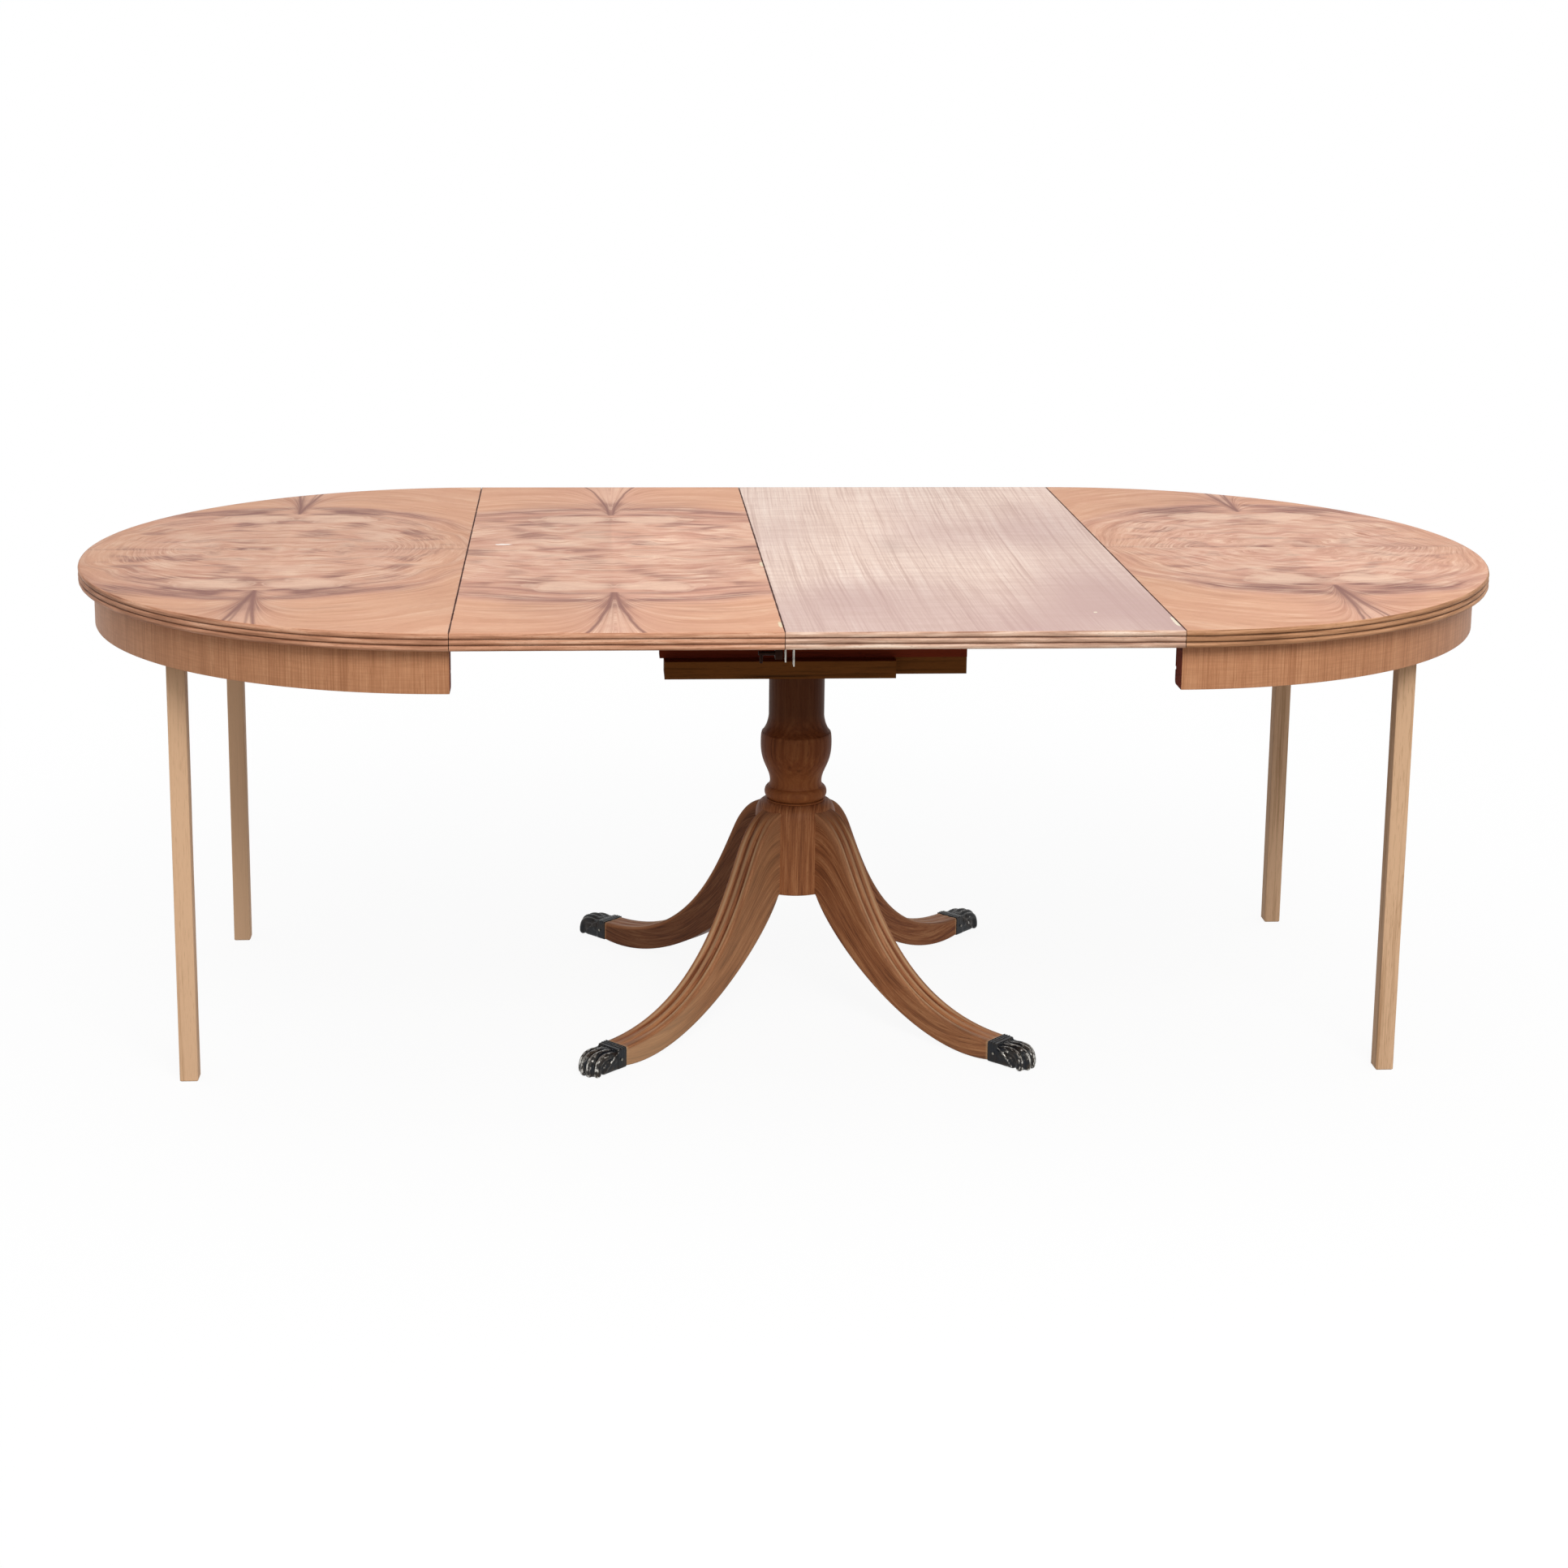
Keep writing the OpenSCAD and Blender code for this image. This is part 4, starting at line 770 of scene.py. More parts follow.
def top_board(name, body, points, faces, material, slot, node):
    """A board of the top: veneer above, stained wood at the sides and below."""
    board = mesh_object(name, points, faces, smooth=False)
    board.data.materials.append(material)
    board.data.materials.append(slide_wood())
    for face in board.data.polygons:
        face.material_index = 0 if face.normal.z > 0.9 else 1
    draw_figure(board, body)
    settle(board, body, slot, node)


class TABLE_OT_top(bpy.types.Operator):
    """Veneers the two half-round ends and the two leaves"""
    bl_idname = "table.top"
    bl_label = "Veneered top"

    def execute(self, context):
        look = context.scene.table_top
        veneer = kept(CROTCH, lambda name: crotch_veneer(name, look))
        plain = kept(PLAIN, lambda name: leaf_veneer(name, look))
        rows = round(math.pi * PANEL_R / look.cell)
        columns = round(PANEL_R / (look.cell * 1.25))
        for side, body in ENDS:
            points, faces = half_disc(PANEL_R, UNDER_Z, TOP_Z, rows, columns)
            points = [(side * (x + JOINT_X), y, z) for x, y, z in points]
            top_board(body + "_top_veneered", body, points, faces, veneer, "figured_mahogany", body + "_top")
        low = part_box("left_leaf_panel")[0][2]
        for body, (x0, x1), cover, slot in (("left_leaf", LEFT_LEAF_X, veneer, "figured_mahogany"),
                                            ("right_leaf", RIGHT_LEAF_X, plain, "plain_mahogany")):
            points, faces = rectangle(x0, x1, -PANEL_R, PANEL_R, low, TOP_Z, look.cell)
            top_board(body + "_panel_veneered", body, points, faces, cover, slot, body + "_panel")
        return {"FINISHED"}


# Swept pieces: edges and aprons

def sweep_tree(name, bent):
    """A tree that sweeps the object's own outline along a half circle or a straight line."""
    tree = bpy.data.node_groups.new(name, "GeometryNodeTree")
    face = tree.interface
    face.new_socket("Section", in_out="INPUT", socket_type="NodeSocketGeometry")
    if bent:
        face.new_socket("Middle", in_out="INPUT", socket_type="NodeSocketVector")
        face.new_socket("Radius", in_out="INPUT", socket_type="NodeSocketFloat")
        face.new_socket("First turn", in_out="INPUT", socket_type="NodeSocketFloat")
    else:
        face.new_socket("Start", in_out="INPUT", socket_type="NodeSocketVector")
        face.new_socket("End", in_out="INPUT", socket_type="NodeSocketVector")
    face.new_socket("Steps", in_out="INPUT", socket_type="NodeSocketInt")
    face.new_socket("Wood", in_out="INPUT", socket_type="NodeSocketMaterial")
    face.new_socket("Geometry", in_out="OUTPUT", socket_type="NodeSocketGeometry")
    given = put(tree, "NodeGroupInput").outputs
    if bent:
        path = put(tree, "GeometryNodeCurveArc", {
            "Radius": given["Radius"], "Start Angle": given["First turn"], "Sweep Angle": math.pi,
            "Resolution": given["Steps"]}).outputs["Curve"]
    else:
        line = put(tree, "GeometryNodeCurvePrimitiveLine", {"Start": given["Start"], "End": given["End"]})
        path = put(tree, "GeometryNodeResampleCurve", {"Curve": line, "Count": given["Steps"]}).outputs[0]
    measured = put(tree, "GeometryNodeStoreNamedAttribute", {
        "Geometry": path, "Name": "along", "Value": put(tree, "GeometryNodeSplineParameter").outputs["Length"]},
        data_type="FLOAT", domain="POINT")
    outline = put(tree, "GeometryNodeMeshToCurve", {"Mesh": given["Section"]})
    solid = put(tree, "GeometryNodeCurveToMesh", {
        "Curve": measured, "Profile Curve": outline, "Fill Caps": True}).outputs[0]
    if bent:
        solid = put(tree, "GeometryNodeTransform", {
            "Geometry": solid, "Translation": given["Middle"]}).outputs[0]
    real = put(tree, "GeometryNodeRealizeInstances", {"Geometry": solid})
    shown = put(tree, "GeometryNodeSetMaterial", {"Geometry": real, "Material": given["Wood"]})
    put(tree, "NodeGroupOutput", {"Geometry": shown})
    return tree


def fill_inputs(modifier, **values):
    """Sets a Geometry Nodes modifier's inputs by their sockets' identifiers."""
    by_name = {item.name: item.identifier for item in modifier.node_group.interface.items_tree
               if item.item_type == "SOCKET" and item.in_out == "INPUT"}
    for name, value in values.items():
        modifier[by_name[name.replace("_", " ")]] = value


def swept(name, outline, tree, **values):
    """A plain mesh of an outline, in metres, x outwards and y down, swept by the tree."""
    mesh = bpy.data.meshes.new(name)
    count = len(outline)
    mesh.from_pydata([(x, y, 0.0) for x, y in outline], [(i, (i + 1) % count) for i in range(count)], [])
    piece = add_piece(name, mesh)
    modifier = piece.modifiers.new("Sweep", "NODES")
    modifier.node_group = tree
    fill_inputs(modifier, **values)
    baked(piece)
    outward(piece.data)
    return piece


def joined(name, pieces):
    """Several pieces as one."""
    first = pieces[0]
    with bpy.context.temp_override(active_object=first, selected_editable_objects=pieces, selected_objects=pieces):
        bpy.ops.object.join()
    first.name = name
    return first


def reeded_outline(look, width, thick):
    """Section of the reeded lipping: x outwards from its inner face, y down from the top."""
    pitch = thick / look.reeds
    depth = look.groove
    reed_r = (depth * depth + pitch * pitch / 4) / (2 * depth)
    half = math.asin(pitch / 2 / reed_r)
    outline = [(0.0, 0.0), (width * 0.4, 0.0)]
    for k in range(look.reeds):
        middle = (k + 0.5) * pitch
        for i in range(11):
            turn = -half * 0.97 + 2 * half * 0.97 * i / 10
            outline.append((width - reed_r + reed_r * math.cos(turn), middle + reed_r * math.sin(turn)))
    outline += [(width * 0.4, thick), (0.0, thick)]
    return outline


def finish_lipping(piece, body, slot, node, bent):
    """Grain along the lipping, the veneer over its upper face, small dents in its reeds."""
    along = [item.value for item in piece.data.attributes["along"].data]
    groove = bpy.context.scene.table_edge.groove
    grain, wear_and_painted_light = [], []
    for vertex, run in zip(piece.data.vertices, along):
        x, y, z = vertex.co
        out = math.hypot(abs(x) - JOINT_X, y) if bent else abs(y)
        depth = (TOP_R - out) / groove
        wear_and_painted_light.append(0.20 - 1.20 * ease(depth, 0.20, 0.85) if UNDER_Z + 0.001 < z < TOP_Z - 0.001 else 0.0)
        grain.append((run + (3.0 if y > 0 and not bent else 0.0), out, z))
        if z < TOP_Z - 0.001 and out > PANEL_R + 0.002:
            # Shallow dents, of about a third of a millimetre
            dent = 0.00035 * noise.noise(Vector((x * 40, y * 40, z * 220))) - 0.0003
            push = Vector((x - math.copysign(JOINT_X, x) if bent else 0.0, y, 0.0)).normalized()
            vertex.co += push * dent
    store(piece, "grain", "FLOAT_VECTOR", grain)
    store(piece, "wear_and_painted_light", "FLOAT", wear_and_painted_light)
    draw_figure(piece, body)
    piece.data.materials.append(bpy.data.materials[PLAIN if body == "right_leaf" else CROTCH])
    for face in piece.data.polygons:
        face.material_index = 1 if face.normal.z > 0.97 and face.center.z > TOP_Z - 0.0004 else 0
    crease(piece, 40)
    settle(piece, body, slot, node)


class TABLE_OT_edges(bpy.types.Operator):
    """Makes the reeded lippings of ends and leaves"""
    bl_idname = "table.edges"
    bl_label = "Reeded edges"

    def execute(self, context):
        look = context.scene.table_edge
        outline = reeded_outline(look, TOP_R - PANEL_R, TOP_Z - UNDER_Z)
        bent, straight = sweep_tree("Bent sweep", True), sweep_tree("Straight sweep", False)
        steps = round(math.pi * TOP_R / SWEEP_STEP)
        for side, body in ENDS:
            piece = swept(body + "_lipping_reeded", outline, bent, Middle=(side * JOINT_X, 0.0, TOP_Z),
                          Radius=PANEL_R, First_turn=side * -math.pi / 2, Steps=steps,
                          Wood=lipping_wood(body))
            finish_lipping(piece, body, "edge_mahogany", body + "_lipping", True)
        for body, (x0, x1) in (("left_leaf", LEFT_LEAF_X), ("right_leaf", RIGHT_LEAF_X)):
            steps = round((x1 - x0) / SWEEP_STEP)
            material = lipping_wood(body)
            front = swept(body + "_front", outline, straight, Start=(x0, -PANEL_R, TOP_Z),
                          End=(x1, -PANEL_R, TOP_Z), Steps=steps, Wood=material)
            rear = swept(body + "_rear", outline, straight, Start=(x1, PANEL_R, TOP_Z),
                         End=(x0, PANEL_R, TOP_Z), Steps=steps, Wood=material)
            both = joined(body + "_lippings_reeded", [front, rear])
            finish_lipping(both, body, "edge_mahogany", body + "_lippings", False)
        return {"FINISHED"}


def apron_veneer(name, look):
    """Ribbon-striped mahogany veneer on a bent apron: upright stripes a few millimetres wide, an old thin polish."""
    material, tree, shader = new_material(name, 0.5, specular=0.22)
    place = place_of(tree, "grain")
    line, band, pore = grained(tree, place, along_mm=170, line_mm=2.4, band_mm=19, pore_mm=1.0, waver_mm=1.2, seed=4.0)
    mixed = put(tree, "ShaderNodeMix", {"Factor": 0.33, "A": line, "B": band}, data_type="FLOAT")
    tone = put(tree, "ShaderNodeValToRGB", {"Fac": mixed.outputs["Result"]},
               stops=[(0.32, look.deep), (0.5, look.mid), (0.68, look.pale)])
    # Faint ripple across the stripes
    ripple = put(tree, "ShaderNodeTexNoise", {"Vector": put(tree, "ShaderNodeMapping", {
        "Vector": place, "Scale": (420.0, 26.0, 26.0)}), "Scale": 1.0, "Detail": 2.0})
    veil = put(tree, "ShaderNodeMapRange", {
        "Value": ripple, "From Min": 0.35, "From Max": 0.65, "To Min": 0.26, "To Max": 0.0})
    shade = put(tree, "ShaderNodeMix", {
        "Factor": veil.outputs["Result"], "A": tone.outputs["Color"], "B": look.deep}, data_type="RGBA")
    pored = with_pores(tree, shade.outputs["Result"], pore, look.deep, 0.5)
    tree.links.new(pored, shader.inputs["Base Color"])
    lift = put(tree, "ShaderNodeBump", {"Height": line, "Strength": 0.15, "Distance": 0.0003})
    tree.links.new(lift.outputs["Normal"], shader.inputs["Normal"])
    return material


class TABLE_OT_aprons(bpy.types.Operator):
    """Makes the bent, veneered aprons"""
    bl_idname = "table.aprons"
    bl_label = "Bent aprons"

    def execute(self, context):
        look = context.scene.table_apron
        material = kept("ribbon mahogany veneer, thin polish", lambda name: apron_veneer(name, look))
        thick, high, soft = 0.020, UNDER_Z - APRON_Z, 0.0012
        outline = [(0.0, 0.0), (thick, 0.0), (thick, high - soft), (thick - soft * 0.3, high - soft * 0.3),
                   (thick - soft, high), (soft, high), (0.0, high - soft)]
        tree = sweep_tree("Apron sweep", True)
        for side, body in ENDS:
            piece = swept(body + "_apron_veneered", outline, tree, Middle=(side * JOINT_X, 0.0, UNDER_Z),
                          Radius=APRON_R - thick, First_turn=side * -math.pi / 2, Steps=280, Wood=material)
            along = [item.value for item in piece.data.attributes["along"].data]
            # Each apron starts at its own place in the veneer
            start = 5.0 if side > 0 else 0.0
            grain = [(spot.co.z, run + start, math.hypot(abs(spot.co.x) - JOINT_X, spot.co.y))
                     for spot, run in zip(piece.data.vertices, along)]
            store(piece, "grain", "FLOAT_VECTOR", grain)
            piece.data.materials.append(slide_wood())
            for face in piece.data.polygons:
                middle = face.center
                out = math.hypot(abs(middle.x) - JOINT_X, middle.y)
                hidden = out < APRON_R - thick * 0.6 or abs(face.normal.x) > 0.95 and abs(middle.x) < JOINT_X + 0.001
                face.material_index = 1 if hidden else 0
            crease(piece, 35)
            settle(piece, body, "apron_veneer", body + "_apron")
        return {"FINISHED"}


# Column and hub

def bend(p, q, r, steps):
    """Points of a curve from p to r pulled towards q."""
    return [tuple((1 - t) ** 2 * a + 2 * t * (1 - t) * b + t * t * c for a, b, c in zip(p, q, r))
            for t in (i / steps for i in range(steps + 1))]


def curve(p, q, r, s, steps):
    """Points of a curve from p to s pulled towards q and r."""
    return [tuple((1 - t) ** 3 * a + 3 * t * (1 - t) ** 2 * b + 3 * t * t * (1 - t) * c + t ** 3 * d
                  for a, b, c, d in zip(p, q, r, s)) for t in (i / steps for i in range(steps + 1))]


def turned(name, outline, axis_x, steps=144):
    """A turned piece: (radius, height) points in millimetres spun round an upright axis."""
    points, faces = [], []
    count = len(outline)
    for k in range(steps):
        turn = 2 * math.pi * k / steps
        for radius, height in outline:
            points.append((axis_x + radius * MM * math.cos(turn), radius * MM * math.sin(turn), height * MM))
    for k in range(steps):
        after = (k + 1) % steps
        for i in range(count - 1):
            faces.append((k * count + i, after * count + i, after * count + i + 1, k * count + i + 1))
    piece = mesh_object(name, points, faces)
    crease(piece, 38)
    return piece


def flat_sawn(piece, pith_x, pith_y):
    """Grain of a turned piece sawn off centre: X runs up it and Y away from the pith, so a swelling shows ovals."""
    return [(spot.co.z, math.hypot(spot.co.x - pith_x, spot.co.y - pith_y), 0.35 * (spot.co.x - pith_x))
            for spot in piece.data.vertices]


def column_outline():
    """Half section of the column above the hub: ring, neck, swelling, lip and shaft."""
    top, shaft = HUB_TOP / MM, 44.5
    ring_z, neck_z, bulb_z, lip_z = top + 13.5, top + 32, top + 94, top + 113
    outline = [(0.0, top - 40), (25, top - 40), (25, top), (45.6, top), (46.4, top + 0.8), (46.4, top + 2.6)]
    for i in range(23):
        turn = math.radians(-80 + 158 * i / 22)
        outline.append((41.5 + 8.5 * math.cos(turn), ring_z + 10.6 * math.sin(turn)))
    outline += bend((43.0, ring_z + 11.4), (41.5, neck_z - 4), (41.5, neck_z), 6)
    outline += curve((41.5, neck_z + 1), (43.5, neck_z + 22), (57, bulb_z - 34), (57, bulb_z), 26)[1:]
    outline += bend((57, bulb_z + 1), (57, lip_z - 6), (55.4, lip_z - 1.0), 8)
    outline += [(54.8, lip_z - 0.3), (54.2, lip_z - 0.1)]
    outline += curve((54.0, lip_z + 0.4), (50.5, lip_z + 5), (46, lip_z + 12), (shaft, top + 140), 18)
    outline += [(shaft, top + 140 + (BEARER_Z / MM - top - 140) * i / 12) for i in range(1, 13)]
    outline += [(25, BEARER_Z / MM), (25, COLUMN_TOP / MM), (0.0, COLUMN_TOP / MM)]
    return outline


def hub_outline():
    """Half section of the hub: a plain drum that rounds over to the column."""
    low, top, radius = HUB_Z / MM, HUB_TOP / MM, HUB_R / MM
    outline = [(0.0, low), (radius - 2, low), (radius - 0.6, low + 0.6), (radius, low + 2)]
    outline += [(radius, low + (top - 24 - low) * i / 20) for i in range(1, 21)]
    outline += curve((radius, top - 23), (radius, top - 10), (radius - 6, top - 1), (radius - 17, top), 18)
    outline.append((0.0, top))
    return outline


class TABLE_OT_column(bpy.types.Operator):
    """Turns the column and the hub"""
    bl_idname = "table.column"
    bl_label = "Column and hub"

    def execute(self, context):
        look, shaft = context.scene.table_pedestal, context.scene.table_column
        # Old oil and wax on turned mahogany: low, broad shine, long upright grain
        material = kept("turned mahogany, waxed", lambda name: wood(
            name, shaft.pale, shaft.mid, shaft.deep, attribute="grain", along_mm=110, line_mm=2.6, band_mm=11,
            waver_mm=2.2, roughness=0.5, specular=0.10, seed=5.0))
        column = turned("column_turned", column_outline(), COLUMN_X)
        column.data.materials.append(material)
        store(column, "grain", "FLOAT_VECTOR", flat_sawn(column, COLUMN_X - 0.004, 0.150))
        # Painted light low on the column and painted shade towards its head, which stands under the top; from the
        # shape, a little paler on crests and darker in hollows
        store(column, "wear_and_painted_light", "FLOAT", [
            clamp(value, -0.10, 0.08) + 0.40 - 0.56 * ease(spot.co.z, 0.37, 0.42) - 0.64 * ease(spot.co.z, 0.44, 0.49)
            for value, spot in zip(shape_wear(column, 500.0), column.data.vertices)])
        settle(column, "pedestal", "turned_mahogany", "column")
        hub = turned("hub_turned", hub_outline(), COLUMN_X)
        hub.data.materials.append(kept("hub mahogany, waxed", lambda name: wood(
            name, look.pale, look.mid, look.deep, attribute="grain", along_mm=70, line_mm=2.2, band_mm=9,
            waver_mm=1.6, roughness=0.52, specular=0.18, seed=12.0)))
        store(hub, "grain", "FLOAT_VECTOR", flat_sawn(hub, COLUMN_X - 0.300, 0.020))
        # Painted light over the whole hub, less of it just under the column's ring, where painted shade falls
        store(hub, "wear_and_painted_light", "FLOAT", [0.20 - 0.10 * ease(spot.co.z, HUB_TOP - 0.030, HUB_TOP - 0.012)
                                     for spot in hub.data.vertices])
        settle(hub, "pedestal", "turned_mahogany", "hub")
        return {"FINISHED"}


# Sabre legs

LEG_TURNS = {"front_left": 225.0, "front_right": 315.0, "rear_left": 135.0, "rear_right": 45.0}
# From the column's axis to the end of a leg's wood, and from a leg's middle line to its coves and outer reeds, in mm
LEG_END, COVE_AT, REED_AT = 411.0, 7.4, 13.6
# Painted light on the cheeks of the front legs, which the light reaches, and painted shade on the rear legs under the
# table
LEG_PAINTED_LIGHT = {"front_left": 0.36, "front_right": 0.10, "rear_left": -0.62, "rear_right": -0.10}


def even(points, count):
    """That many points at even distances along a line of points, each with its direction."""
    runs = [0.0]
    for a, b in zip(points, points[1:]):
        runs.append(runs[-1] + math.dist(a, b))
    found, k = [], 0
    for i in range(count):
        target = runs[-1] * i / (count - 1)
        while k < len(points) - 2 and runs[k + 1] < target:
            k += 1
        t = clamp((target - runs[k]) / max(runs[k + 1] - runs[k], 1e-9))
        a, b = Vector(points[k]), Vector(points[k + 1])
        found.append(a.lerp(b, t))
    headings = []
    for i in range(count):
        before, after = found[max(i - 1, 0)], found[min(i + 1, count - 1)]
        headings.append((after - before).normalized())
    return found, headings


def sabre_lines(stations):
    """Upper and lower line of a sabre leg in its own plane, in millimetres."""
    hub_r, low, top = HUB_R / MM, HUB_Z / MM, HUB_TOP / MM
    knee = (hub_r + 48, top - 58)
    upper = bend((hub_r - 10, top - 8), (hub_r + 24, top - 15), knee, 16)
    upper += curve(knee, (hub_r + 89, low + 6), (LEG_END - 197, 37), (LEG_END, 34), 60)[1:]
    lower = [(hub_r - 10, low)]
    lower += curve((hub_r - 2, low), (hub_r + 31, low - 68), (LEG_END - 149, -20), (LEG_END, 4), 60)
    return even(upper, stations), even(lower, stations)


def cove(y, fade, depth):
    """How far the two coves of a leg's upper side go down at that place across it."""
    return depth * fade * hill(abs(y), COVE_AT, 3.9)


def rounding(y, half, corner):
    """How far an arris of that radius has fallen away at that place across a leg."""
    over = max(0.0, abs(y) - (half - corner))
    return corner - math.sqrt(max(0.0, corner * corner - over * over))


def cheek(top, bottom, y):
    """Spots down a flat cheek, between an upper arris and the line of the sole."""
    return [(top[0] + (bottom.x - top[0]) * t, y, top[2] + (bottom.y - top[2]) * t)
            for t in (k / 10 for k in range(1, 10))]


def sabre_leg(name, turn, look, painted_light, stations=110):
    """A sabre leg: flat cheeks, softened arrises, and two coves between three reeds along its upper side."""
    (upper, upper_way), (lower, lower_way) = sabre_lines(stations)
    half = look.leg_width / MM / 2
    # Places across the leg, a little closer together towards its arrises
    crown = [half * math.copysign(abs(k) ** 0.85, k) for k in (1 - i / 23 for i in range(47))]
    sole = [half * k for k in (1.0, 0.97, 0.9, 0.5, 0.0, -0.5, -0.9, -0.97, -1.0)]
    depth = look.reed_groove / MM
    # How fast the grain runs out on the cheeks, and how bare the wood is that meets the cap
    slant, bare = 0.22, 0.9
    points, grain, wear_and_painted_light, run = [], [], [], 0.0
    for i in range(stations):
        s = i / (stations - 1)
        run += (upper[i] - upper[max(i - 1, 0)]).length
        fade = ease(s, 0.02, 0.16) * (1 - 0.80 * ease(s, 0.74, 0.99))
        up_normal = Vector((-upper_way[i].y, upper_way[i].x))
        up_normal = up_normal if up_normal.y > 0 or up_normal.x > 0 else -up_normal
        down_normal = -Vector((-lower_way[i].y, lower_way[i].x))
        down_normal = down_normal if down_normal.y < 0 or down_normal.x < 0 else -down_normal
        last = i == stations - 1
        ring = []
        for y in crown:
            spot = upper[i] - up_normal * (rounding(y, half, 3.0) + cove(y, fade, depth))
            ring.append((spot.x, y, spot.y))
            grain.append((run, y + turn, 400.0))
            crest = fade * (0.85 * hill(abs(y), REED_AT, 2.2) + 0.55 * hill(y, 0.0, 2.6))
            wear_and_painted_light.append(bare if last else crest + 0.22 - 0.62 * hill(abs(y), COVE_AT, 3.0) * fade)
        ring += cheek(ring[-1], lower[i], -half)
        for y in reversed(sole):
            spot = lower[i] - down_normal * rounding(y, half, 2.0)
            ring.append((spot.x, y, spot.y))
        ring += reversed(cheek(ring[0], lower[i], half))
        # Cheeks take each leg's painted light and shade; a lit leg gets more painted light towards its foot
        for x, y, z in ring[len(crown):]:
            grain.append((run, y + turn, math.dist((x, z), upper[i]) + slant * run))
            wear_and_painted_light.append(bare if last else painted_light + max(painted_light, 0.0) * ease(s, 0.5, 0.9))
        width = len(ring)
        points += ring
    faces = []
    for i in range(stations - 1):
        for j in range(width):
            k = (j + 1) % width
            faces.append((i * width + j, i * width + k, (i + 1) * width + k, (i + 1) * width + j))
    faces.append(tuple(range(width)))
    faces.append(tuple((stations - 1) * width + j for j in range(width - 1, -1, -1)))
    angle = math.radians(turn)
    grain = [(x * MM, y * MM, z * MM) for x, y, z in grain]
    placed = [(COLUMN_X + (x * math.cos(angle) - y * math.sin(angle)) * MM,
               (x * math.sin(angle) + y * math.cos(angle)) * MM, z * MM) for x, y, z in points]
    mesh = bpy.data.meshes.new(name)
    mesh.from_pydata(placed, [], faces)
    leg = add_piece(name, mesh)
    store(leg, "grain", "FLOAT_VECTOR", grain)
    store(leg, "wear_and_painted_light", "FLOAT", wear_and_painted_light)
    outward(mesh, merge=False)
    crease(leg, 50)
    return leg


class TABLE_OT_sabre_legs(bpy.types.Operator):
    """Shapes the four sabre legs"""
    bl_idname = "table.sabre_legs"
    bl_label = "Sabre legs"

    def execute(self, context):
        look = context.scene.table_pedestal
        # Mahogany legs from naturally bent stock: the grain follows the sweep and runs out a little on the cheeks
        material = kept("sabre leg mahogany, waxed", lambda name: wood(
            name, look.pale, look.mid, look.deep, attribute="grain", along_mm=75, line_mm=2.0, band_mm=12,
            waver_mm=5.0, roughness=0.52, specular=0.17, seed=14.0, spread=0.14, rubbed=look.rubbed))
        for place, turn in LEG_TURNS.items():
            leg = sabre_leg("sabre_leg_%s_reeded" % place, turn, look, LEG_PAINTED_LIGHT[place])
            leg.data.materials.append(material)
            settle(leg, "pedestal", "turned_mahogany", "sabre_leg_" + place)
        return {"FINISHED"}


# Paw caps

# Painted shade on the rear caps: less of their rubbed metal shows, so they stay dark
CAP_PAINTED_SHADE = {"front_left": 0.0, "front_right": 0.0, "rear_left": 0.55, "rear_right": 0.20}


def blob(shape, middle, radii, tilt=0.0, subdivisions=3):
    """Adds a ball stretched to the radii, tilted about Y in degrees, in millimetres."""
    placed = Matrix.Translation(middle) @ Matrix.Rotation(math.radians(tilt), 4, "Y") @ Matrix.Diagonal((*radii, 1.0))
    bmesh.ops.create_icosphere(shape, subdivisions=subdivisions, radius=1.0, matrix=placed)


def block(shape, low, high, soft):
    """Adds a box with softened edges, in millimetres."""
    middle = [(a + b) / 2 for a, b in zip(low, high)]
    sizes = [b - a for a, b in zip(low, high)]
    made = bmesh.ops.create_cube(shape, size=1.0, matrix=Matrix.Translation(middle) @ Matrix.Diagonal((*sizes, 1.0)))
    edges = list({edge for vertex in made["verts"] for edge in vertex.link_edges})
    bmesh.ops.bevel(shape, geom=edges, offset=soft, segments=3, affect="EDGES", profile=0.5)


